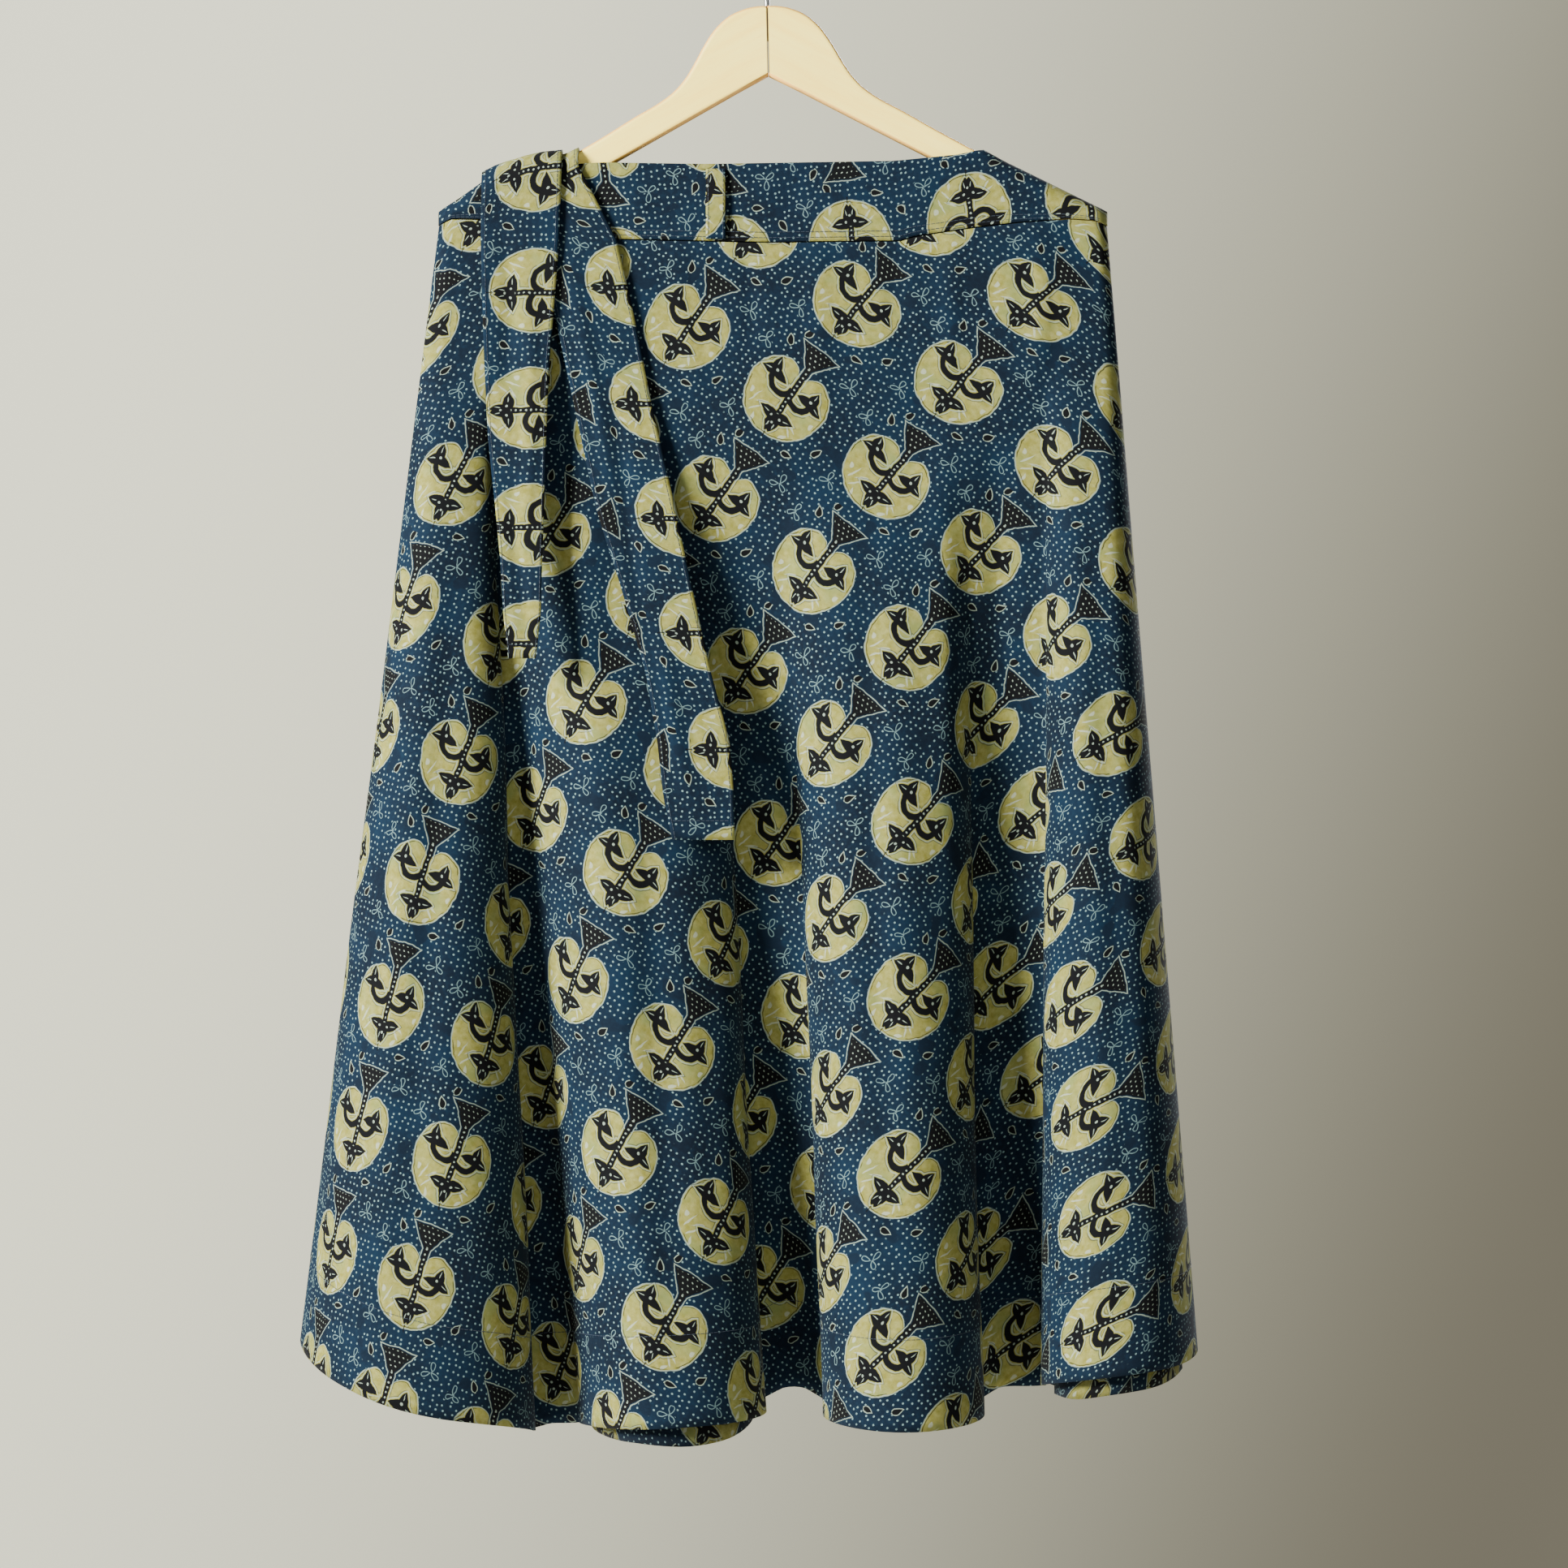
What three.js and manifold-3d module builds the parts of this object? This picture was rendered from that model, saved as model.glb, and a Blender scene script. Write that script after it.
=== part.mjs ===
// A wrap skirt of printed cotton hung on its wooden clothes hanger.
// Millimetres, +Z up, the front of the skirt faces -Y, +X is the viewer's right.
// The origin is the seat of the hook on its rail: the inner top of the hook.
import * as THREE from "three";
import Module from "manifold-3d";
import { mergeVertices } from "three/addons/utils/BufferGeometryUtils.js";

// Cloth walls and the gap kept at every seam.
const WALL = 1.6;
const TIE_WALL = 2;
const SEAM_GAP = 0.3;
const SIDE_SEAM_PULL = 0.6;
const BAND_SEAM_PULL = 0.9;

// The flattened waist tube: half its depth, the radius of its two side folds and their places.
const WAIST_HALF_DEPTH = 9;
const SIDE_RADIUS = 9;
const WAIST_LEFT = -218;
const WAIST_RIGHT = 226;

// The skirt's wall at the hem: how far back the front's valleys reach, and the back's.
const FRONT_FLOOR = 2;
const FRONT_DIP = 9;
const BACK_FLOOR = 34;
const BACK_DIP = -8;
const SIDE_Y = 12;
const ROWS = 12;
const LOBE_STEPS = 8;
const VALLEY_STEPS = 4;
const DEPTH_POWER = 0.8;

// One row for each fold of the front, viewer's left to right. left and right are its edges at the
// hem, topLeft and topRight where the same edges would reach the waist seam, crest its foremost
// place, hem the height of its lower edge, and the turns say how far each flank rounds under.
const FRONT_FOLDS = [
  { left: -311, right: -153, topLeft: WAIST_LEFT, topRight: -191, crest: -74, edgeHem: -948,
    hem: -992, farHem: -1014, turnLeft: 90, turnRight: 108, start: 0.14 },
  { left: -134, right: 0, topLeft: -184, topRight: -44, crest: -70, edgeHem: -1007,
    hem: -1001, farHem: -996, turnLeft: 72, turnRight: 112, start: 0.18 },
  { left: 37, right: 143, topLeft: 2, topRight: 132, crest: -80, edgeHem: -998,
    hem: -1003, farHem: -997, turnLeft: 112, turnRight: 112, start: 0.2 },
  { left: 181, right: 287, topLeft: 186, topRight: WAIST_RIGHT, crest: -72, edgeHem: -983,
    hem: -966, farHem: -958, turnLeft: 110, turnRight: 90, start: 0.12 },
];
const FRONT_VALLEY_HEMS = [-1009, -984, -984];

// The same for the back, from the viewer's right to left, with the crests behind.
const BACK_FOLDS = [
  { left: 287, right: 168, topLeft: WAIST_RIGHT, topRight: 172, crest: 92, edgeHem: -958,
    hem: -976, farHem: -980, turnLeft: 90, turnRight: 108, start: 0.15 },
  { left: 142, right: 12, topLeft: 150, topRight: 26, crest: 102, edgeHem: -980,
    hem: -986, farHem: -980, turnLeft: 104, turnRight: 110, start: 0.2 },
  { left: -22, right: -140, topLeft: 4, topRight: -118, crest: 96, edgeHem: -988,
    hem: -1003, farHem: -1000, turnLeft: 108, turnRight: 100, start: 0.17 },
  { left: -168, right: -311, topLeft: -150, topRight: WAIST_LEFT, crest: 90, edgeHem: -1000,
    hem: -996, farHem: -948, turnLeft: 104, turnRight: 90, start: 0.13 },
];
const BACK_VALLEY_HEMS = [-978, -979, -992];

// The underlap hangs inside the front, nested in its folds: the distance between the two walls'
// middles at the waist and at the hem, and how much lower its own hem hangs under each fold.
const UNDERLAP_TOP_OFFSET = WALL + SEAM_GAP;
const UNDERLAP_HEM_OFFSET = 9;
const UNDERLAP_FIRST = 5;
const UNDERLAP_LAST = 41;
const UNDERLAP_DROPS = [
  { x: -260, drop: -8 }, { x: -140, drop: -8 }, { x: -108, drop: 8 }, { x: -40, drop: 14 },
  { x: -14, drop: 8 }, { x: -2, drop: -8 }, { x: 90, drop: -12 }, { x: 182, drop: -8 },
  { x: 196, drop: 12 }, { x: 262, drop: 12 }, { x: 287, drop: 4 },
];

// The waistband's lower seam and top edge across the width.
const BAND_SEAM = [
  { x: -218, z: -211.5 }, { x: -209, z: -207.5 }, { x: -190, z: -208 }, { x: -100, z: -221 },
  { x: 0, z: -223 }, { x: 88, z: -222 }, { x: 98, z: -219 }, { x: 135, z: -213.5 },
  { x: 166, z: -210 }, { x: 200, z: -207.5 }, { x: 217, z: -208.5 }, { x: 226, z: -211.5 },
];
const BAND_TOP = [
  { x: -218, z: -202 }, { x: -204, z: -193 }, { x: -190, z: -183 }, { x: -180, z: -177.5 },
  { x: -170, z: -174 }, { x: -160, z: -172.5 }, { x: -134, z: -171.5 }, { x: -110, z: -170 },
  { x: -40, z: -171 }, { x: 84, z: -169 }, { x: 125, z: -165 }, { x: 143, z: -161.5 },
  { x: 226, z: -202 },
];
// The band folds over the hanger's arms outside these places and stands open between them.
const FOLD_OVER_LEFT = { full: -160, none: -140 };
const FOLD_OVER_RIGHT = { none: 139, full: 158 };
const BAND_COLUMNS = 44;
const BAND_ROWS = 10;
const BAND_CROWDING = 0.95;

// The belt loop stitched on the band.
const LOOP = { left: -40.5, right: -27.5, low: 0.02, high: 0.93, bow: 1.5 };

// The tails of the two ties: where they cross the band's top, then their edges going down.
const FRONT_TAIL = {
  topLeft: -189, topRight: -136, lift: 4.9, swing: 14,
  rows: [
    { z: -222, left: -189.5, right: -137.5 }, { z: -262, left: -188.5, right: -140.5 },
    { z: -304, left: -187, right: -144 }, { z: -354, left: -184, right: -145.5 },
    { z: -398, left: -179, right: -146.5 }, { z: -436, left: -175, right: -147.5 },
    { z: -472, left: -172.5, right: -148 }, { z: -500, left: -169, right: -151 },
  ],
};
const REAR_TAIL = {
  topLeft: -176, topRight: -125, lift: 2, swing: 3,
  rows: [
    { z: -222, left: -152, right: -99.5 }, { z: -270, left: -141, right: -88.5 },
    { z: -335, left: -127, right: -75.5 }, { z: -400, left: -113, right: -60.5 },
    { z: -450, left: -97, right: -50 }, { z: -508, left: -80, right: -37 },
    { z: -554, left: -72, right: -24.5 }, { z: -590, left: -68, right: -21.5 },
    { z: -619, left: -62, right: -21 },
  ],
};
const TIE_COLUMNS = 9;
const TIE_ARCH_STEPS = 6;
const TIE_BACK_REACH = 16;
// How much higher a tie crosses where it rides on the hanger's arm beside the band.
const OVER_ARM = [
  { x: -168, rise: 0 }, { x: -150, rise: 3.2 }, { x: -134, rise: 4 }, { x: -125, rise: 7.8 },
];

// The hanger: half of its symmetric outline, thickness, edge rounding and how far it hangs askew.
const HANGER_THICKNESS = 11;
const HANGER_ROUNDING = 3;
const HANGER_TILT = THREE.MathUtils.degToRad(1.24);
const HUMP_TOP = -65;
const ARM_TIP = 218.5;
const ARM_DEPTH = 21.5;
const HANGER_TOP_EDGE = [
  { x: 0, z: -65 }, { x: 8, z: -65.4 }, { x: 16, z: -67.2 }, { x: 26, z: -71.8 },
  { x: 35.5, z: -80.5 }, { x: 43, z: -91.5 }, { x: 49.5, z: -103 }, { x: 56, z: -113 },
  { x: 64, z: -121.5 }, { x: 75, z: -129.2 }, { x: 90, z: -137.5 }, { x: 110, z: -149.4 },
  { x: 134, z: -163 },
];
const ARM_SLOPE = Math.tan(THREE.MathUtils.degToRad(27.6));
const UNDERSIDE_APEX = -111.5;
const UNDERSIDE_BEND = { x: 20, z: -121.8 };

// The hook: wire, inner radius of its bend, how far the bend goes round, and its stem.
const WIRE_RADIUS = 1.8;
const HOOK_INNER_RADIUS = 17;
const HOOK_FIRST_ANGLE = -42;
const HOOK_LAST_ANGLE = 205;
const HOOK_STEM_TOP = -48;
const HOOK_STEM_FOOT = -88;
const STEM_HOLE_RADIUS = WIRE_RADIUS + SEAM_GAP;
const BORE_LENGTH = 60;
const WIRE_SIDES = 10;

const COTTON = new THREE.MeshStandardMaterial({ color: "#26506b", roughness: 0.9, metalness: 0 });
const WOOD = new THREE.MeshStandardMaterial({ color: "#ecd79b", roughness: 0.55, metalness: 0 });
const STEEL = new THREE.MeshStandardMaterial({ color: "#b4b4b0", roughness: 0.3, metalness: 1 });

const wasm = await Module();
wasm.setup();

const lerp = THREE.MathUtils.lerp;
const clamp = THREE.MathUtils.clamp;
const radians = THREE.MathUtils.degToRad;

// Linear reading of a table of rows, by the column named at, which rises or falls all the way.
function read(rows, at, place, column) {
  for (let i = 1; i < rows.length; i++) {
    const t = (place - rows[i - 1][at]) / (rows[i][at] - rows[i - 1][at]);
    if (t <= 1) return lerp(rows[i - 1][column], rows[i][column], Math.max(t, 0));
  }
  return rows.at(-1)[column];
}

// Half the depth of the flattened waist at x: full but for the two rounded side folds.
function waistDepth(x) {
  const past = Math.max(WAIST_LEFT + SIDE_RADIUS - x, x - (WAIST_RIGHT - SIDE_RADIUS), 0);
  return WAIST_HALF_DEPTH * Math.sqrt(Math.max(0, 1 - (past / SIDE_RADIUS) ** 2));
}

// The columns of a panel: for each, its place at the waist seam and at the hem.
function panelColumns(folds, valleyHems, floor, dip, side) {
  const columns = [];
  const lastFold = folds.length - 1;
  folds.forEach((fold, index) => {
    const middle = (fold.left + fold.right) / 2;
    const half = (fold.right - fold.left) / 2;
    const turnLeft = radians(fold.turnLeft);
    const turnRight = radians(fold.turnRight);
    for (let step = 0; step <= LOBE_STEPS; step++) {
      const t = step / LOBE_STEPS;
      const angle = lerp(-turnLeft, turnRight, t);
      const onLeft = angle < 0;
      const turn = onLeft ? turnLeft : turnRight;
      const atSide = (index === 0 && onLeft) || (index === lastFold && !onLeft);
      const base = atSide ? SIDE_Y : floor;
      const rise = (Math.cos(angle) - Math.cos(turn)) / (1 - Math.cos(turn));
      const edge = onLeft ? fold.edgeHem : fold.farHem;
      const flank = Math.abs(angle) / turn;
      const crestX = lerp(fold.topLeft, fold.topRight, turnLeft / (turnLeft + turnRight));
      const topEdge = onLeft ? fold.topLeft : fold.topRight;
      const along = atSide ? 1 - (1 - flank) ** 2 : flank;
      columns.push({
        hemX: middle + half * Math.sin(angle),
        hemY: lerp(base, fold.crest, rise),
        hemZ: lerp(fold.hem, edge, flank),
        topX: lerp(crestX, topEdge, along),
        start: fold.start,
      });
    }
    if (index < lastFold) {
      const next = folds[index + 1];
      const nextStart = (next.left + next.right) / 2
        - ((next.right - next.left) / 2) * Math.sin(radians(next.turnLeft));
      const from = middle + half * Math.sin(turnRight);
      for (let step = 1; step < VALLEY_STEPS; step++) {
        const t = step / VALLEY_STEPS;
        const round = Math.sin(Math.PI * t);
        columns.push({
          hemX: lerp(from, nextStart, t),
          hemY: floor + dip * round,
          hemZ: lerp(lerp(fold.farHem, next.edgeHem, t), valleyHems[index], round ** 0.4),
          topX: lerp(fold.topRight, next.topLeft, t),
          start: lerp(fold.start, next.start, t),
        });
      }
    }
  });
  columns.forEach((column) => {
    column.topY = side * waistDepth(column.topX);
    column.topZ = read(BAND_SEAM, "x", column.topX, "z") - WALL / 4 - SEAM_GAP;
  });
  return columns;
}

// A column's place at v, from 0 at the waist seam to 1 at the hem. Folds grow from their start.
function columnPoint(column, v) {
  const grown = clamp((v - column.start) / (1 - column.start), 0, 1) ** DEPTH_POWER;
  return new THREE.Vector3(
    lerp(column.topX, column.hemX, v),
    lerp(column.topY, column.hemY, grown),
    lerp(column.topZ, column.hemZ, v),
  );
}

const FRONT_COLUMNS = panelColumns(FRONT_FOLDS, FRONT_VALLEY_HEMS, FRONT_FLOOR, FRONT_DIP, -1);
const BACK_COLUMNS = panelColumns(BACK_FOLDS, BACK_VALLEY_HEMS, BACK_FLOOR, BACK_DIP, 1);

// The unit normals of a grid of points, from its neighbours. They point into the skirt.
function gridNormals(grid) {
  const rows = grid.length;
  const columns = grid[0].length;
  return grid.map((row, j) =>
    row.map((_, i) => {
      const across = grid[j][Math.min(i + 1, columns - 1)].clone().sub(grid[j][Math.max(i - 1, 0)]);
      const down = grid[Math.min(j + 1, rows - 1)][i].clone().sub(grid[Math.max(j - 1, 0)][i]);
      return across.cross(down).normalize();
    }),
  );
}

// A grid moved along its normals.
function offsetGrid(grid, distance) {
  const normals = gridNormals(grid);
  return grid.map((row, j) =>
    row.map((point, i) => {
      const far = typeof distance === "function" ? distance(i, j) : distance;
      return point.clone().addScaledVector(normals[j][i], far);
    }),
  );
}

// A closed wall of cloth round a grid of middle points.
function clothWall(grid, thickness) {
  const rows = grid.length;
  const columns = grid[0].length;
  const outer = offsetGrid(grid, thickness / 2).flat();
  const inner = offsetGrid(grid, -thickness / 2).flat();
  const faces = [];
  const quad = (a, b, c, d) => faces.push(a, b, c, a, c, d);
  const at = (j, i) => j * columns + i;
  const under = outer.length;
  for (let j = 0; j < rows - 1; j++) {
    for (let i = 0; i < columns - 1; i++) {
      quad(at(j, i), at(j, i + 1), at(j + 1, i + 1), at(j + 1, i));
      quad(under + at(j, i), under + at(j + 1, i), under + at(j + 1, i + 1), under + at(j, i + 1));
    }
  }
  for (let i = 0; i < columns - 1; i++) {
    quad(at(0, i), under + at(0, i), under + at(0, i + 1), at(0, i + 1));
    quad(at(rows - 1, i + 1), under + at(rows - 1, i + 1), under + at(rows - 1, i), at(rows - 1, i));
  }
  for (let j = 0; j < rows - 1; j++) {
    quad(at(j + 1, 0), under + at(j + 1, 0), under + at(j, 0), at(j, 0));
    quad(at(j, columns - 1), under + at(j, columns - 1), under + at(j + 1, columns - 1), at(j + 1, columns - 1));
  }
  const geometry = new THREE.BufferGeometry();
  const places = outer.concat(inner).flatMap((point) => point.toArray());
  geometry.setAttribute("position", new THREE.Float32BufferAttribute(places, 3));
  geometry.setIndex(faces);
  geometry.computeVertexNormals();
  return geometry;
}

// A panel's grid, with its first and last columns drawn in by half a gap for the side seams.
function panelGrid(columns) {
  return Array.from({ length: ROWS + 1 }, (_, j) => {
    const row = columns.map((column) => columnPoint(column, j / ROWS));
    const last = row.length - 1;
    const pull = (end, next) => {
      const inward = row[next].clone().sub(row[end]).normalize();
      row[end].addScaledVector(inward, SIDE_SEAM_PULL);
    };
    pull(0, 1);
    pull(last, last - 1);
    return row;
  });
}

const frontGrid = panelGrid(FRONT_COLUMNS);
const backGrid = panelGrid(BACK_COLUMNS);

// The underlap follows the inside of the front panel, further from it towards the hem.
function underlapGrid() {
  const nested = offsetGrid(frontGrid, (i, j) => lerp(UNDERLAP_TOP_OFFSET, UNDERLAP_HEM_OFFSET, j / ROWS));
  return nested.map((row, j) =>
    row.slice(UNDERLAP_FIRST, UNDERLAP_LAST + 1).map((point) => {
      const drop = read(UNDERLAP_DROPS, "x", point.x, "drop");
      return point.setZ(point.z - drop * (j / ROWS) ** 2);
    }),
  );
}

// How far the band folds over the hanger's arm at x, from 0 to 1.
function foldOver(x) {
  const left = (FOLD_OVER_LEFT.none - x) / (FOLD_OVER_LEFT.none - FOLD_OVER_LEFT.full);
  const right = (x - FOLD_OVER_RIGHT.none) / (FOLD_OVER_RIGHT.full - FOLD_OVER_RIGHT.none);
  return clamp(Math.max(left, right), 0, 1);
}

// The band's middle surface at x, t from 0 at its seam to 1 at its top; side is -1 in front.
function bandPoint(side, x, t) {
  const depth = waistDepth(x);
  const low = read(BAND_SEAM, "x", x, "z") + WALL / 4;
  const high = read(BAND_TOP, "x", x, "z");
  const fold = foldOver(x);
  const radius = WAIST_HALF_DEPTH * fold;
  const straight = high - radius - low;
  const along = t * (straight + (radius * Math.PI) / 2);
  const turn = fold > 0 ? Math.max(0, along - straight) / radius : 0;
  return new THREE.Vector3(
    x,
    side * Math.max(depth * (1 - fold + fold * Math.cos(turn)), BAND_SEAM_PULL),
    low + Math.min(along, straight) + radius * Math.sin(turn),
  );
}

// The band's columns are close at the side folds and even between them.
function bandPlaces() {
  const places = [];
  for (let i = 0; i <= BAND_COLUMNS; i++) {
    const swept = (i / BAND_COLUMNS - 0.5) * Math.PI;
    const even = lerp(WAIST_LEFT, WAIST_RIGHT, i / BAND_COLUMNS);
    const round = (WAIST_LEFT + WAIST_RIGHT) / 2 + ((WAIST_RIGHT - WAIST_LEFT) / 2) * Math.sin(swept);
    places.push(lerp(even, round, BAND_CROWDING));
  }
  return places;
}

function bandGrid(side) {
  const places = side < 0 ? bandPlaces() : bandPlaces().reverse();
  return Array.from({ length: BAND_ROWS + 1 }, (_, j) =>
    places.map((x) => bandPoint(side, x, 1 - j / BAND_ROWS)),
  );
}

function loopGrid() {
  const rows = 8;
  const grid = Array.from({ length: rows + 1 }, (_, j) => {
    const t = lerp(LOOP.high, LOOP.low, j / rows);
    return [LOOP.left, LOOP.right].map((x) => bandPoint(-1, x, t));
  });
  const lift = (WALL + WALL) / 2 + SEAM_GAP;
  return offsetGrid(grid, (i, j) => -lift - LOOP.bow * Math.sin((Math.PI * j) / rows));
}

// The foremost place of the front panel between two x at a height.
function foremost(left, right, z) {
  let found = -WAIST_HALF_DEPTH;
  FRONT_COLUMNS.forEach((column) => {
    const v = clamp((z - column.topZ) / (column.hemZ - column.topZ), 0, 1);
    const point = columnPoint(column, v);
    if (point.x > left - 18 && point.x < right + 18) found = Math.min(found, point.y);
  });
  return found;
}

// A tie's tail: stitched behind the band, over its top edge and down the front.
function tailGrid(tail) {
  const lift = (WALL + TIE_WALL) / 2 + tail.lift;
  const reach = WAIST_HALF_DEPTH + lift;
  const across = (left, right, place) =>
    Array.from({ length: TIE_COLUMNS }, (_, i) => place(lerp(left, right, i / (TIE_COLUMNS - 1))));
  const archMiddle = (x) =>
    read(BAND_TOP, "x", x, "z") + read(OVER_ARM, "x", x, "rise") + lift - reach;
  const { topLeft, topRight, rows } = tail;
  const grid = [
    across(topLeft, topRight, (x) => new THREE.Vector3(x, reach, archMiddle(x) - TIE_BACK_REACH)),
  ];
  for (let step = 0; step <= TIE_ARCH_STEPS; step++) {
    const turn = Math.PI * (1 - step / TIE_ARCH_STEPS);
    grid.push(across(topLeft, topRight, (x) =>
      new THREE.Vector3(x, -reach * Math.cos(turn), archMiddle(x) + reach * Math.sin(turn))));
  }
  const first = rows[0];
  [0.35, 0.7].forEach((s) => {
    grid.push(across(0, 1, (u) => {
      const x = lerp(lerp(topLeft, topRight, u), lerp(first.left, first.right, u), s);
      return new THREE.Vector3(x, -reach, lerp(archMiddle(lerp(topLeft, topRight, u)), first.z, s));
    }));
  });
  const last = rows.length - 1;
  rows.forEach((row, k) => {
    const y = foremost(row.left, read(REAR_TAIL.rows, "z", row.z, "right"), row.z);
    const forward = y - lift - tail.swing * (k / last) ** 2;
    grid.push(across(row.left, row.right, (x) => new THREE.Vector3(x, forward, row.z)));
  });
  return grid;
}

// A geometry as a solid, with its doubled points merged, and back.
function toSolid(geometry) {
  const plain = geometry.clone();
  plain.deleteAttribute("normal");
  plain.deleteAttribute("uv");
  const merged = mergeVertices(plain, 1e-4);
  return new wasm.Manifold(new wasm.Mesh({
    numProp: 3,
    vertProperties: merged.attributes.position.array,
    triVerts: new Uint32Array(merged.index.array),
  }));
}

function fromSolid(solid) {
  const mesh = solid.getMesh();
  const geometry = new THREE.BufferGeometry();
  geometry.setAttribute("position", new THREE.BufferAttribute(mesh.vertProperties, 3));
  geometry.setIndex(new THREE.BufferAttribute(mesh.triVerts, 1));
  geometry.computeVertexNormals();
  return geometry;
}

// One half of the hanger, cut from board, with the bore for the hook's stem.
function hangerHalf() {
  const tipTop = HANGER_TOP_EDGE.at(-1).z - (ARM_TIP - HANGER_TOP_EDGE.at(-1).x) * ARM_SLOPE;
  const joint = SEAM_GAP / 2;
  const outline = new THREE.Shape();
  outline.moveTo(joint, HUMP_TOP);
  HANGER_TOP_EDGE.slice(1).forEach((point) => outline.lineTo(point.x, point.z));
  outline.lineTo(ARM_TIP - 5, tipTop + 5 * ARM_SLOPE);
  outline.lineTo(ARM_TIP, tipTop - 4);
  outline.lineTo(ARM_TIP - 1, tipTop - ARM_DEPTH / 2);
  outline.lineTo(ARM_TIP - 7, tipTop - ARM_DEPTH + 6);
  outline.lineTo(ARM_TIP - 16, tipTop - ARM_DEPTH + 8);
  outline.lineTo(UNDERSIDE_BEND.x, UNDERSIDE_BEND.z);
  outline.lineTo(joint, UNDERSIDE_APEX);
  const board = new THREE.ExtrudeGeometry(outline, {
    depth: HANGER_THICKNESS - 2 * HANGER_ROUNDING,
    bevelThickness: HANGER_ROUNDING,
    bevelSize: HANGER_ROUNDING,
    bevelOffset: -HANGER_ROUNDING,
    bevelSegments: 2,
  });
  board.translate(0, 0, HANGER_ROUNDING - HANGER_THICKNESS / 2);
  board.rotateX(Math.PI / 2);
  return board;
}

// The centre line of the hook's wire, from its foot in the wood to its tip.
function hookPath() {
  const radius = HOOK_INNER_RADIUS + WIRE_RADIUS;
  const centre = -HOOK_INNER_RADIUS;
  const points = [new THREE.Vector3(0, 0, HOOK_STEM_FOOT), new THREE.Vector3(0, 0, HUMP_TOP)];
  points.push(new THREE.Vector3(0, 0, HOOK_STEM_TOP), new THREE.Vector3(2.2, 0, -42));
  for (let angle = HOOK_FIRST_ANGLE; angle <= HOOK_LAST_ANGLE; angle += 13) {
    const turn = radians(angle);
    points.push(new THREE.Vector3(radius * Math.cos(turn), 0, centre + radius * Math.sin(turn)));
  }
  return new THREE.CatmullRomCurve3(points, false, "centripetal");
}

function hookWire() {
  const section = new THREE.Shape();
  section.absarc(0, 0, WIRE_RADIUS, 0, 2 * Math.PI, false);
  return new THREE.ExtrudeGeometry(section, {
    steps: 44,
    curveSegments: WIRE_SIDES,
    extrudePath: hookPath(),
    bevelEnabled: false,
  });
}

function piece(name, geometry, material) {
  const mesh = new THREE.Mesh(geometry, material);
  mesh.name = name;
  return mesh;
}

const skirt = new THREE.Group();
skirt.add(piece("front_panel", clothWall(frontGrid, WALL), COTTON));
skirt.add(piece("back_panel", clothWall(backGrid, WALL), COTTON));
skirt.add(piece("underlap_panel", clothWall(underlapGrid(), WALL), COTTON));
skirt.add(piece("waistband_front", clothWall(bandGrid(-1), WALL), COTTON));
skirt.add(piece("waistband_back", clothWall(bandGrid(1), WALL), COTTON));
skirt.add(piece("belt_loop", clothWall(loopGrid(), WALL), COTTON));
skirt.add(piece("tie_front_tail", clothWall(tailGrid(FRONT_TAIL), TIE_WALL), COTTON));
skirt.add(piece("tie_rear_tail", clothWall(tailGrid(REAR_TAIL), TIE_WALL), COTTON));

// The board's left half is its right half mirrored. Both have the stem's bore, which is upright
// while the board hangs askew.
function boredHalf(left) {
  const bore = new THREE.CylinderGeometry(STEM_HOLE_RADIUS, STEM_HOLE_RADIUS, BORE_LENGTH, 16);
  bore.rotateX(Math.PI / 2);
  bore.translate(0, 0, HOOK_STEM_FOOT - SEAM_GAP + BORE_LENGTH / 2 - HUMP_TOP);
  bore.rotateY(HANGER_TILT);
  bore.translate(0, 0, HUMP_TOP);
  const right = toSolid(hangerHalf());
  return fromSolid((left ? right.mirror([1, 0, 0]) : right).subtract(toSolid(bore)));
}

const hanger = new THREE.Group();
hanger.position.z = HUMP_TOP;
hanger.rotation.y = -HANGER_TILT;
const boards = new THREE.Group();
boards.position.z = -HUMP_TOP;
boards.add(piece("hanger_right_half", boredHalf(false), WOOD));
boards.add(piece("hanger_left_half", boredHalf(true), WOOD));
hanger.add(boards);

const part = new THREE.Group();
part.add(skirt, hanger, piece("hanger_hook", hookWire(), STEEL));

export default part;
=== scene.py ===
import math
import bpy
import bmesh
import numpy as np
from mathutils import Matrix, Vector, noise


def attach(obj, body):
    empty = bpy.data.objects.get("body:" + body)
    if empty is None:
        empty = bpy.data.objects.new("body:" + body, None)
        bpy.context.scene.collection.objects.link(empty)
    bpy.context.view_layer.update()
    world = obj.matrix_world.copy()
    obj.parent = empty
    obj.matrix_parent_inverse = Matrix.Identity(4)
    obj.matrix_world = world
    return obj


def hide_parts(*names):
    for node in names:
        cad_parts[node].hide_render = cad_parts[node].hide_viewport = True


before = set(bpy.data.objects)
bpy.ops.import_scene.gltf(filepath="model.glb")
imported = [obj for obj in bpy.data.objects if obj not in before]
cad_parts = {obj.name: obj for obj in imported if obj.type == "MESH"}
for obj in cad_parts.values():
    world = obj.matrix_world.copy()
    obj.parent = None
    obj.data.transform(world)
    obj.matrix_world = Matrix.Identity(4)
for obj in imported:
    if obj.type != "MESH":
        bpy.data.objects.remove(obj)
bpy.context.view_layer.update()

# The camera stands level before the skirt at its middle height, with a long lens, so that
# the picture's 1932 pixels span 1.043 metres at the hanger.
camera_data = bpy.data.cameras.new("camera")
camera = bpy.data.objects.new("camera", camera_data)
bpy.context.scene.collection.objects.link(camera)
bpy.context.scene.camera = camera
camera_distance = 3.0
picture_width = 1.0433
picture_middle_x, picture_middle_z = 0.0113, -0.5823
camera_data.sensor_width = 36
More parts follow.
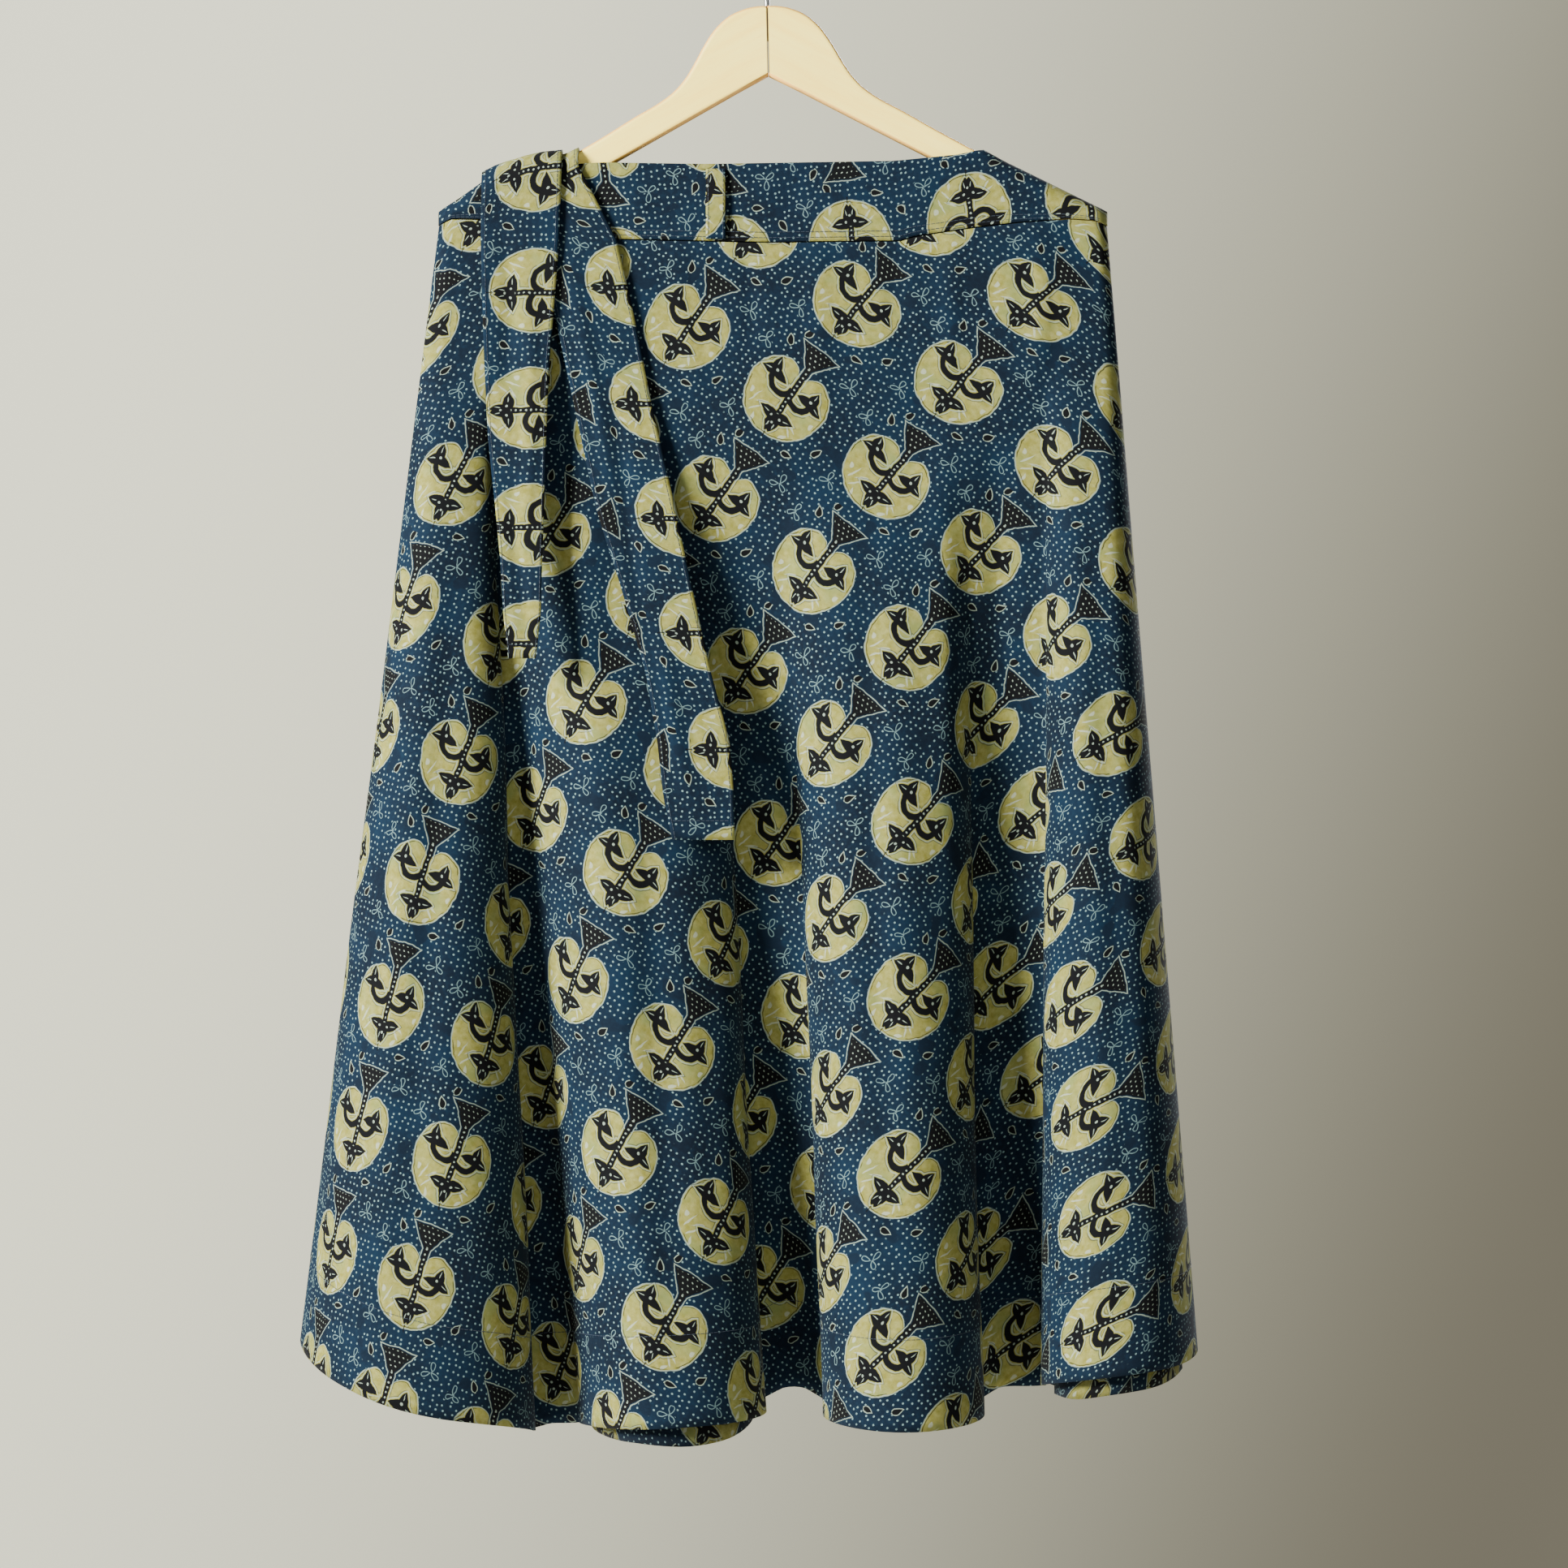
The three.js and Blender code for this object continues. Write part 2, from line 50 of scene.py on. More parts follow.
camera_data.lens = camera_data.sensor_width * camera_distance / picture_width
camera.location = (picture_middle_x, -camera_distance, picture_middle_z)
camera.rotation_euler = (math.pi / 2, 0, 0)


# The cotton: plain weave with an indigo ground and pale dots, printed with round notched fruit
# in ochre, black stems, leaves and curled flowers, in rows that the cut turns round the skirt.
# The UV map "print" gives millimetres across and along the motif's own axis.
class Socket:
    """One value in a material, on which the signs + - * add the material's maths nodes."""

    def __init__(self, finish, socket):
        self.finish, self.socket = finish, socket

    def math(self, operation, *others, clamp=False):
        settings = {"operation": operation, "use_clamp": clamp}
        return self.finish.node("ShaderNodeMath", settings, dict(enumerate((self, *others))))

    def __add__(self, other): return self.math("ADD", other)
    def __radd__(self, other): return self.math("ADD", other)
    def __sub__(self, other): return self.math("SUBTRACT", other)
    def __rsub__(self, other): return self.finish.number("SUBTRACT", other, self)
    def __mul__(self, other): return self.math("MULTIPLY", other)
    def __rmul__(self, other): return self.math("MULTIPLY", other)
    def __abs__(self): return self.math("ABSOLUTE")
    def min(self, other): return self.math("MINIMUM", other)
    def max(self, other): return self.math("MAXIMUM", other)
    def wrap(self, low, high): return self.math("WRAP", high, low)
    def root(self): return self.math("SQRT")
    def clamp(self): return self.math("ADD", 0.0, clamp=True)

    def soft(self, blur):
        """1 where the value is above 0 and 0 below, over a blur of that width."""
        return (self * (1 / blur)).math("ADD", 0.5, clamp=True)


class Finish:
    """One material and its nodes."""

    def __init__(self, name):
        self.material = bpy.data.materials.new(name)
        self.material.use_nodes = True
        self.tree = self.material.node_tree
        self.tree.nodes.clear()

    def node(self, kind, settings=None, inputs=None, out=0):
        made = self.tree.nodes.new(kind)
        for key, value in (settings or {}).items():
            setattr(made, key, value)
        for key, value in (inputs or {}).items():
            if isinstance(value, Socket):
                self.tree.links.new(value.socket, made.inputs[key])
            else:
                made.inputs[key].default_value = value
        return Socket(self, made.outputs[out]) if made.outputs else None

    def number(self, operation, first, second):
        return self.node("ShaderNodeMath", {"operation": operation}, {0: first, 1: second})

    def axis(self, place, letter):
        return self.node("ShaderNodeSeparateXYZ", None, {"Vector": place}, letter)

    def mix(self, mask, below, above):
        """A mix of two colours, which are the node's sockets 6 and 7; its colour is output 2."""
        settings = {"data_type": "RGBA", "clamp_factor": True}
        return self.node("ShaderNodeMix", settings, {0: mask, 6: below, 7: above}, 2)

    def noise(self, place, scale, detail=2.0, roughness=0.5):
        inputs = {"Vector": place, "Scale": scale, "Detail": detail, "Roughness": roughness}
        return self.node("ShaderNodeTexNoise", {"noise_dimensions": "3D"}, inputs)

    def surface(self, **inputs):
        shader = self.node("ShaderNodeBsdfPrincipled", None, inputs)
        self.node("ShaderNodeOutputMaterial", None, {"Surface": shader})
        return self.material


def linear(red, green, blue):
    """An sRGB colour, 0 to 255, as the linear colour that a shader takes."""
    def channel(value):
        part = value / 255
        return part / 12.92 if part <= 0.04045 else ((part + 0.055) / 1.055) ** 2.4
    return (channel(red), channel(green), channel(blue), 1.0)


# The block repeats every 79 mm across, and along from its low edge to its high one, 84 mm.
REPEAT_ACROSS, MOTIF_LOW, MOTIF_HIGH = 79.0, -34.0, 50.0
BLOCK_WAVER = 2.2
STEM_DOT_HALF_PITCH, FAN_DOT_HALF_PITCH = 1.7, 1.75
# The ground's dots: cells for each millimetre, and the dots' radius and its spread in cells.
GROUND_DOTS_PER_MM, GROUND_DOT_RADIUS, GROUND_DOT_SPREAD = 0.225, 0.155, 0.09
WEAVE_PITCH = 0.42
INDIGO_DARK, INDIGO, INDIGO_LIGHT = linear(3, 29, 50), linear(6, 49, 77), linear(14, 66, 95)
OCHRE, CREAM, GREEN = linear(188, 184, 84), linear(228, 226, 138), linear(176, 194, 118)
PALE, EDGE_PALE, STROKE = linear(166, 206, 206), linear(206, 228, 206), linear(240, 250, 216)
INK = linear(4, 8, 13)
# Drop shaped petals, each with its round end's x and y, turn in degrees, length, half width.
FOOT_PETALS = ((0.0, -12.6, 8, 12.8, 3.9), (-0.4, -11.5, -82, 13.0, 4.3))
FOOT_VEINS = ((5.6, -12.0, 6, 4.0, 0.3), (1.7, -17.2, -80, 4.0, 0.3))
BLOOM_PETALS = ((13.6, 11.6, -16, 11.6, 3.5), (15.4, 9.6, 84, 11.4, 3.7), (17.6, 11.6, 190, 13.2, 3.3))
BLOOM_VEINS = ((18.6, 10.6, -14, 4.4, 0.3), (15.8, 15.0, 85, 4.4, 0.3))
SPRIG_LEAVES = (
    (26.8, 43.5, -84, 7.5, 1.9), (20.4, 33.0, 24, 7, 1.8), (32.6, 33.0, 150, 7, 1.8),
    (-28.5, -19.0, -94, 7, 1.8), (-34.0, -28.6, 28, 7, 1.8), (-23.0, -30.0, 136, 7, 1.8),
    (-33.0, 34.0, -96, 7, 1.8), (-38.0, 24.0, 36, 7, 1.8), (-28.4, 23.4, 148, 7, 1.8))
SEEDS = (
    (-19.0, 34.0, 118, 7.4, 1.9), (33.0, -19.0, 62, 7.4, 1.9), (16.0, -30.0, 10, 7.0, 1.8),
    (-14.0, 45.0, 70, 7.4, 1.9))
BRUSH_STROKES = (
    (-20.0, -2.0, 62, 7, 0.7), (-21.5, 6.0, 110, 6, 0.7), (-17.0, -10.0, 20, 7, 0.7),
    (-12.0, -20.0, 100, 6, 0.7), (9.0, -21.0, 60, 7, 0.7), (14.0, -13.0, 150, 7, 0.7),
    (20.0, -7.0, 80, 6, 0.7), (21.0, 8.0, 70, 6, 0.7), (10.0, -8.0, 10, 6, 0.7),
    (-9.0, -5.0, 170, 7, 0.7))
# The root of t times 1 - t is 0.385 at its highest, which this brings up to 1.
PETAL_SCALE = 2.6


def leaf(a, b, x, y, degrees, length, width):
    """How far inside a drop shaped petal a place is; its round end lies at x, y."""
    cos, sin = math.cos(math.radians(degrees)), math.sin(math.radians(degrees))
    along = a * (cos / length) + b * (sin / length) - (x * cos + y * sin) / length
    aside = abs(a * -sin + b * cos - (y * cos - x * sin))
    return (along.root() * (1.0 - along) * (PETAL_SCALE * width) - aside).min(along * length)


def leaves(a, b, rows):
    """How far inside the nearest of several petals a place is."""
    inside = leaf(a, b, *rows[0])
    for row in rows[1:]:
        inside = inside.max(leaf(a, b, *row))
    return inside


def distance(a, b):
    return (a * a + b * b).root()


def printed_cotton(name, shade):
    cotton = Finish(name)
    uv = cotton.node("ShaderNodeUVMap", {"uv_map": "print"})
    raw_a, raw_b = cotton.axis(uv, "X"), cotton.axis(uv, "Y")

    # The hand cut block wavers a little.
    waver = cotton.noise(uv, 0.16, 2.0)
    waver_b = cotton.noise(uv, 0.13, 2.0)
    far_a = raw_a + (waver - 0.5) * BLOCK_WAVER
    far_b = raw_b + (waver_b - 0.5) * BLOCK_WAVER
    a = far_a.wrap(-REPEAT_ACROSS / 2, REPEAT_ACROSS / 2)
    b = far_b.wrap(MOTIF_LOW, MOTIF_HIGH)
    side = abs(a)

    # The fruit: a round outline with a sharp notch at its stem, its left lobe the larger.
    angle = abs(cotton.number("ARCTAN2", a, b))
    notch = (1.0 - angle * 1.9).clamp()
    shoulder = (1.0 - abs(angle - 0.85) * 1.1).clamp()
    reach = 26.6 - notch * notch * 12.5 + shoulder * 3.2 - a * 0.05
    fruit = reach - distance(a, b)

    # The stem, its fan outside the fruit, the flower at its foot and a thin stalk below that.
    stem = (2.05 - side).min((b + 15.0).min(30.0 - b))
    fan = (((b - 27.0) * 0.68 + 1.9 - side) * 0.82).min(43.0 - b - side * 0.06)
    foot = leaves(side, b, FOOT_PETALS).max(4.2 - distance(side, b + 14.0))
    stalk = (0.4 - abs(a + 0.6 + (b + 24.0) * 0.12)).min((b + 29.5).min(-22.0 - b))

    # Two curls leave the stem and end in flowers of three petals.
    curl_a = abs(a + 1.6)
    curl_b = b + (a + 1.6) * 0.15
    curl = (2.0 - abs(distance(curl_a - 7.8, curl_b - 9.4) - 8.2)).min(9.6 - curl_b)
    bloom = leaves(curl_a, curl_b, BLOOM_PETALS).max(3.6 - distance(curl_a - 15.6, curl_b - 11.8))
    ink = foot.max(curl).max(bloom).max(stem).max(fan)

    # White dots in the ink: along the stem, over the fan and in each flower.
    dot_b = b.wrap(-STEM_DOT_HALF_PITCH, STEM_DOT_HALF_PITCH)
    stem_dots = (0.66 - distance(a, dot_b)).min(stem - 0.2).min(b + 10.0)
    fan_b = b.wrap(-FAN_DOT_HALF_PITCH, FAN_DOT_HALF_PITCH)
    fan_shift = (b * 0.5).wrap(-FAN_DOT_HALF_PITCH, FAN_DOT_HALF_PITCH)
    fan_a = (a + fan_shift).wrap(-FAN_DOT_HALF_PITCH, FAN_DOT_HALF_PITCH)
    fan_dots = (0.5 - distance(fan_a, fan_b)).min(fan - 0.9).min(b - 28.0)
    hearts = (0.8 - distance(side - 3.2, b + 13.0)).max(0.75 - distance(side, b + 17.0))
    hearts = hearts.max(0.95 - distance(curl_a - 14.6, curl_b - 12.2))
    veins = leaves(side, b, FOOT_VEINS).max(leaves(curl_a, curl_b, BLOOM_VEINS))
    white = stem_dots.max(fan_dots).max(hearts).max(veins)

    # Small sprigs of open leaves, and seeds, stand between the fruit.
    sprig = leaves(a, b, SPRIG_LEAVES)
    seed = leaves(a, b, SEEDS)

    # The ground: a clouded indigo with scattered pale dots, bare in its darker clouds.
    cloud = cotton.noise(uv, 0.022, 2.0)
    mottle = cotton.noise(uv, 0.35, 3.0, 0.65)
    bare = (0.36 - cotton.noise(uv, 0.05, 1.0)).soft(0.03)
    scatter = cotton.node("ShaderNodeTexVoronoi", {"voronoi_dimensions": "2D"},
                          {"Vector": uv, "Scale": GROUND_DOTS_PER_MM, "Randomness": 0.5})
    dot_radius = GROUND_DOT_RADIUS + (mottle - 0.5) * GROUND_DOT_SPREAD
    dots = (dot_radius - scatter).soft(0.05) * (1.0 - bare)
    ground = cotton.mix((cloud - 0.35) * 3.0, INDIGO_DARK, INDIGO)
    ground = cotton.mix((mottle - 0.45) * 1.6, ground, INDIGO_LIGHT)
    ground = cotton.mix(bare * 0.55, ground, INDIGO_DARK)
    keep = (-1.2 - fruit).soft(0.6) * (-1.3 - ink).soft(0.5) * (-1.0 - sprig.max(seed)).soft(0.5)
    ground = cotton.mix(dots * keep * 0.9, ground, PALE)
    ground = cotton.mix((0.3 - abs(sprig - 0.4)).soft(0.3) * 0.75, ground, PALE)
    ground = cotton.mix((seed + 0.6).soft(0.3) * 0.9, ground, EDGE_PALE)
    ground = cotton.mix((seed - 0.05).soft(0.3), ground, INK)

    # The fruit's flesh: ochre to cream, brushed with a few pale curved strokes.
    flesh_noise = cotton.noise(uv, 0.22, 3.0, 0.6)
    flesh = cotton.mix((flesh_noise - 0.35) * 2.6, OCHRE, CREAM)
    flesh = cotton.mix((cotton.noise(uv, 0.9, 2.0) - 0.5) * 1.6, flesh, OCHRE)
    flesh = cotton.mix((cotton.noise(uv, 0.05, 2.0) - 0.48) * 3.0, flesh, GREEN)
    bent = b + a * a * 0.03
    stroke = leaves(a, bent, BRUSH_STROKES)
    flesh = cotton.mix((stroke + 0.2).soft(0.4) * 0.85, flesh, STROKE)
    colour = cotton.mix((fruit + 0.75).soft(0.35) * 0.85, ground, EDGE_PALE)
    colour = cotton.mix(fruit.soft(0.35), colour, flesh)
    broken = (0.55 - cotton.noise(uv, 0.09, 1.0)).soft(0.06)
    ring = (0.28 - abs(fruit - 0.75)).soft(0.35)
    colour = cotton.mix(ring * broken * 0.85, colour, INK)
    colour = cotton.mix(stalk.soft(0.3) * 0.9, colour, INK)

    # Ink over all, each shape with a thin pale edge that the printer set a little off.
    shadow = (0.26 - abs(ink + 1.75)).soft(0.4) * (cotton.noise(uv, 0.14, 1.0) - 0.42).soft(0.08)
    colour = cotton.mix(shadow * 0.7, colour, INDIGO)
    rim = (0.3 - abs(ink + 0.95)).soft(0.4)
    colour = cotton.mix(rim * 0.9, colour, EDGE_PALE)
    colour = cotton.mix(ink.soft(0.3), colour, INK)
    colour = cotton.mix(white.soft(0.3) * 0.95, colour, EDGE_PALE)
    shaded = cotton.node("ShaderNodeHueSaturation", None, {"Value": shade, "Color": colour})

    # Plain weave with a faint slub.
    warp = (raw_a * (math.pi / WEAVE_PITCH)).math("SINE")
    weft = (raw_b * (math.pi / WEAVE_PITCH)).math("SINE")
    slub = cotton.noise(uv, 1.6, 2.0)
    height = warp * weft * 0.5 + slub * 0.8
    relief = {"Strength": 0.25, "Distance": 0.00012, "Height": height}
    bump = cotton.node("ShaderNodeBump", None, relief)
    roughness = 0.86 - (mottle - 0.5) * 0.12
    return cotton.surface(**{
        "Base Color": shaded, "Roughness": roughness, "Normal": bump,
        "Sheen Weight": 0.02, "Sheen Roughness": 0.5, "Specular IOR Level": 0.12,
    })


# The cloth's brightness: its own on the outside, and lower as painted shade where it is seen from
# inside, on the underlap and the turned-up hems.
COTTON = printed_cotton("printed_cotton", 0.31)
COTTON_PAINTED_SHADE = printed_cotton("printed_cotton_painted_shade", 0.2)


# The front panel: one flared piece of cotton across the whole front, hung in four large folds.
# It is cut as a ring sector, so the print turns with the cloth, and sewn to the waistband.
MM = 0.001
WALL, CLOTH = 1.6, 0.7
WAIST_LEFT, WAIST_RIGHT, WAIST_HALF_DEPTH, SIDE_RADIUS = -218.0, 226.0, 9.0, 9.0
# How far back the valleys lie at the hem, how much deeper at their middles, and the side seams.
FRONT_FLOOR, FRONT_DIP, SIDE_Y = 2.0, 9.0, 12.0
DEPTH_POWER, VALLEY_FLATNESS = 0.8, 0.4
LOBE_STEPS, VALLEY_STEPS, PANEL_ROWS = 30, 12, 126
# Neighbours on each side that even out a hem's heights and a face's direction, and the columns
# at a side edge over which creases fade.
HEM_EVENING, FACE_EVENING, CALM_COLUMNS = 3, 2, 5
CREASE_BOW, CREASE_WAVE, CREASE_FADE = 2.5, 5.0, 0.7
TREMBLE_ACROSS, TREMBLE_DOWN, PANEL_TREMBLE = 70.0, 150.0, 1.6
# left and right: a fold's edges at the hem; top: where they would reach the waist; crest: its
# foremost place; hems: heights of its lower edge; turns: how far its flanks round under;
# start: how far down it begins, from 0 at the waist to 1 at the hem.
FOLD = ("left", "right", "top_left", "top_right", "crest", "edge_hem", "hem", "far_hem",
        "turn_left", "turn_right", "start")
FRONT_FOLDS = [dict(zip(FOLD, row)) for row in (
    (-311, -153, WAIST_LEFT, -191, -74, -948, -992, -1014, 90, 108, 0.14),
    (-128, 0, -184, -44, -70, -1007, -1001, -996, 72, 112, 0.18),
    (37, 143, 2, 132, -80, -998, -1003, -997, 112, 112, 0.20),
    (181, 287, 186, WAIST_RIGHT, -72, -983, -966, -958, 110, 90, 0.12))]
FRONT_VALLEY_HEMS = (-1009, -984, -984)
BAND_SEAM = np.array([
    (-218, -211.5), (-209, -207.5), (-190, -208), (-100, -221), (0, -223), (88, -222), (98, -219),
    (135, -213.5), (166, -210), (200, -207.5), (217, -208.5), (226, -211.5)], float)
COLUMN = ("hem_x", "hem_y", "hem_z", "top_x", "start")


def read(table, x):
    return np.interp(x, table[:, 0], table[:, 1])


def waist_depth(x):
    past = np.maximum(np.maximum(WAIST_LEFT + SIDE_RADIUS - x, x - (WAIST_RIGHT - SIDE_RADIUS)), 0)
    return WAIST_HALF_DEPTH * np.sqrt(np.maximum(0, 1 - (past / SIDE_RADIUS) ** 2))


def blend(low, high, t):
    return low + (high - low) * t


def eased(heights, reach=HEM_EVENING):
    """Each number of a row as the mean of itself and that many neighbours on each side."""
    width = 2 * reach + 1
    return np.convolve(np.pad(heights, reach, mode="edge"), np.ones(width) / width, mode="valid")


def panel_columns(folds, valley_hems, floor, dip, side):
    """The panel's columns from side to side, each with its place at the waist and at the hem."""
    rows = []
    for index, fold in enumerate(folds):
        middle, half = (fold["left"] + fold["right"]) / 2, (fold["right"] - fold["left"]) / 2
        turn_left, turn_right = math.radians(fold["turn_left"]), math.radians(fold["turn_right"])
        crest_x = blend(fold["top_left"], fold["top_right"], turn_left / (turn_left + turn_right))
        for angle in np.linspace(-turn_left, turn_right, LOBE_STEPS + 1):
            on_left = angle < 0
            turn = turn_left if on_left else turn_right
            at_side = (index == 0 and on_left) or (index == len(folds) - 1 and not on_left)
            base = SIDE_Y if at_side else floor
            rise = (math.cos(angle) - math.cos(turn)) / (1 - math.cos(turn))
            flank = abs(angle) / turn
            along = 1 - (1 - flank) ** 2 if at_side else flank
            top_edge = fold["top_left"] if on_left else fold["top_right"]
            edge_hem = fold["edge_hem"] if on_left else fold["far_hem"]
            rows.append((
                middle + half * math.sin(angle), blend(base, fold["crest"], rise),
                blend(fold["hem"], edge_hem, flank),
                blend(crest_x, top_edge, along), fold["start"]))
        if index == len(folds) - 1:
            break
        following = folds[index + 1]
        from_x = middle + half * math.sin(turn_right)
        to_x = ((following["left"] + following["right"]) / 2
                - (following["right"] - following["left"]) / 2
                * math.sin(math.radians(following["turn_left"])))
        for step in range(1, VALLEY_STEPS):
            t = step / VALLEY_STEPS
            swell = math.sin(math.pi * t)
            level = blend(fold["far_hem"], following["edge_hem"], t)
            rows.append((
                blend(from_x, to_x, t), floor + dip * swell,
                blend(level, valley_hems[index], swell ** VALLEY_FLATNESS),
                blend(fold["top_right"], following["top_left"], t),
                blend(fold["start"], following["start"], t)))
    columns = dict(zip(COLUMN, np.array(rows, float).T))
    columns["hem_z"] = eased(columns["hem_z"])
    columns["top_y"] = side * waist_depth(columns["top_x"])
    columns["top_z"] = read(BAND_SEAM, columns["top_x"]) - WALL / 4
    return columns


def panel_places(columns, rows):
    """The panel's middle surface as an array: row, column, x y z."""
    v = np.linspace(0, 1, rows)[:, None]
    grown = np.clip((v - columns["start"]) / (1 - columns["start"]), 0, 1) ** DEPTH_POWER
    return np.stack((
        blend(columns["top_x"], columns["hem_x"], v),
        blend(columns["top_y"], columns["hem_y"], grown),
        blend(columns["top_z"], columns["hem_z"], v)), axis=-1)


def inward(places):
    """Unit normals of a grid; on the skirt's panels they point into it."""
    across, down = np.gradient(places, axis=1), np.gradient(places, axis=0)
    margin = ((0, 0), (FACE_EVENING, FACE_EVENING), (0, 0))
    padded = np.pad(np.cross(across, down), margin, mode="edge")
    normal = sum(padded[:, k:k + places.shape[1]] for k in range(2 * FACE_EVENING + 1))
    return normal / np.maximum(np.linalg.norm(normal, axis=-1, keepdims=True), 1e-9)


def creased(places, creases, tremble, seed):
    """Raises soft ridges and troughs along given lines, and a faint unevenness all over but for
    the side edges. A crease runs from x z to x z, with its width and how far it stands out."""
    normal = inward(places)
    x, z = places[..., 0], places[..., 2]
    out = np.zeros(x.shape)
    for x0, z0, x1, z1, width, height in creases:
        run = np.array((x1 - x0, z1 - z0), float)
        along = ((x - x0) * run[0] + (z - z0) * run[1]) / (run @ run)
        aside = ((x - x0) * run[1] - (z - z0) * run[0]) / math.sqrt(run @ run)
        bow = CREASE_BOW * np.sin(along * CREASE_WAVE + x0)
        fade = np.sin(np.clip(along, 0, 1) * math.pi) ** CREASE_FADE
        out += height * fade * np.exp(-(((aside + bow) / width) ** 2))
    for j in range(out.shape[0]):
        for i in range(out.shape[1]):
            spot = Vector((x[j, i] / TREMBLE_ACROSS, places[j, i, 1] / TREMBLE_ACROSS + seed,
                           z[j, i] / TREMBLE_DOWN))
            out[j, i] += tremble * noise.noise(spot)
    column = np.arange(out.shape[1])
    out *= np.minimum(1, np.minimum(column, column[::-1]) / CALM_COLUMNS)
    return places - normal * out[..., None]


def lengths(places, axis):
    step = np.linalg.norm(np.diff(places, axis=axis), axis=-1)
    start = np.zeros((places.shape[0], 1)) if axis == 1 else np.zeros((1, places.shape[1]))
    return np.concatenate((start, np.cumsum(step, axis=axis)), axis=axis)


def cloth_piece(name, places, prints, material, thickness=CLOTH, stretches=()):
    """A sheet of cloth through a grid of places, with its thickness and finish. prints holds the
    print's coordinates, with a further layer from each column in stretches on."""
    rows, columns = places.shape[:2]
    bm = bmesh.new()
    bmesh.ops.create_grid(bm, x_segments=columns - 1, y_segments=rows - 1, size=0.5)
    layer = bm.loops.layers.uv.new("print")
    spot = {}
    for vertex in bm.verts:
        i = round((vertex.co.x + 0.5) * (columns - 1))
        j = round((0.5 - vertex.co.y) * (rows - 1))
        spot[vertex] = (j, i)
    for vertex, (j, i) in spot.items():
        vertex.co = Vector(places[j, i]) * MM
    for face in bm.faces:
        face.smooth = True
        stretch = sum(start <= min(spot[v][1] for v in face.verts) for start in stretches)
        for loop in face.loops:
            j, i = spot[loop.vert]
            loop[layer].uv = prints[stretch][j, i]
    mesh = bpy.data.meshes.new(name)
    bm.to_mesh(mesh)
    bm.free()
    mesh.materials.append(material)
    piece = bpy.data.objects.new(name, mesh)
    bpy.context.scene.collection.objects.link(piece)
    shell = piece.modifiers.new("cloth", "SOLIDIFY")
    shell.thickness = thickness * MM
    shell.offset = 0
    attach(piece, "root")
    return piece


def turned_print(places, reference, tilt, radius, disc, tucks=()):
    """Print coordinates of a panel cut as a ring sector of that inner radius: one layer for each
    stretch between tucks. reference is the column where the print hangs at the tilt, disc the
    x z place of one fruit's middle, and tucks the columns behind a fold's edge where hidden
    cloth turns the print on, growing to that many degrees at the hem."""
    across, down = lengths(places, 1), lengths(places, 0)
    r = radius + down
    v = np.linspace(0, 1, places.shape[0])[:, None]
    fallen = np.clip((v - TUCK_START) / (1 - TUCK_START), 0, 1)
    turn = math.radians(tilt)
    near = (places[..., 0] - disc[0]) ** 2 + (places[..., 2] - disc[1]) ** 2
    spot = np.unravel_index(np.argmin(near), near.shape)
    layers = []
    for start in (0, *[column for column, turned in tucks]):
        passed = sum(turned for column, turned in tucks if reference < column <= start)
        passed -= sum(turned for column, turned in tucks if start < column <= reference)
        theta = (across - across[:, reference:reference + 1]) / r + math.radians(passed) * fallen
        flat_x, flat_y = r * np.sin(theta), -r * np.cos(theta)
        layers.append(np.stack((flat_x * math.cos(turn) - flat_y * math.sin(turn),
                                flat_x * math.sin(turn) + flat_y * math.cos(turn)), axis=-1))
    layer = sum(column <= spot[1] for column, turned in tucks)
    return [places_of - layers[layer][spot] for places_of in layers]


FRONT_CREASES = [
    (-206, -400, -236, -970, 11, -4.0), (-262, -540, -290, -990, 13, 3.0),
    (-176, -330, -172, -640, 8, 2.5), (-78, -520, -62, -1000, 13, -5.0),
    (-124, -300, -108, -640, 12, 3.0), (-30, -560, -18, -960, 9, 3.0),
    (66, -400, 80, -985, 11, -4.0), (116, -330, 124, -760, 10, 3.5),
    (150, -330, 152, -560, 9, -2.5), (212, -320, 238, -960, 10, -3.5),
    (-60, -215, -48, -330, 6, 1.5), (-14, -216, -12, -300, 5, -1.3), (36, -214, 30, -352, 7, 1.6),
    (84, -214, 92, -310, 6, -1.4), (124, -208, 118, -330, 7, 1.5), (176, -204, 184, -330, 7, 1.8),
]
front_columns = panel_columns(FRONT_FOLDS, FRONT_VALLEY_HEMS, FRONT_FLOOR, FRONT_DIP, -1)
front_places = creased(panel_places(front_columns, PANEL_ROWS), FRONT_CREASES, PANEL_TREMBLE, 0.0)
FOLD_COLUMNS = LOBE_STEPS + VALLEY_STEPS
PANEL_MIDDLE = 2 * FOLD_COLUMNS - VALLEY_STEPS // 2
PRINT_RADIUS, TUCK_START = 455.0, 0.42
FRONT_PRINT_TILT, FRONT_FRUIT = 36.5, (61.0, -268.6)
FRONT_TUCKS = [
    (2 * FOLD_COLUMNS, 2.2), (2 * FOLD_COLUMNS + LOBE_STEPS, 4.0), (3 * FOLD_COLUMNS, 4.0)]
FRONT_TUCK_COLUMNS = [column for column, turned in FRONT_TUCKS]
front_print = turned_print(
    front_places, PANEL_MIDDLE, FRONT_PRINT_TILT, PRINT_RADIUS, FRONT_FRUIT, FRONT_TUCKS)
front_panel = cloth_piece(
    "front_panel_cloth", front_places, front_print, COTTON, CLOTH, FRONT_TUCK_COLUMNS)
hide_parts("front_panel")


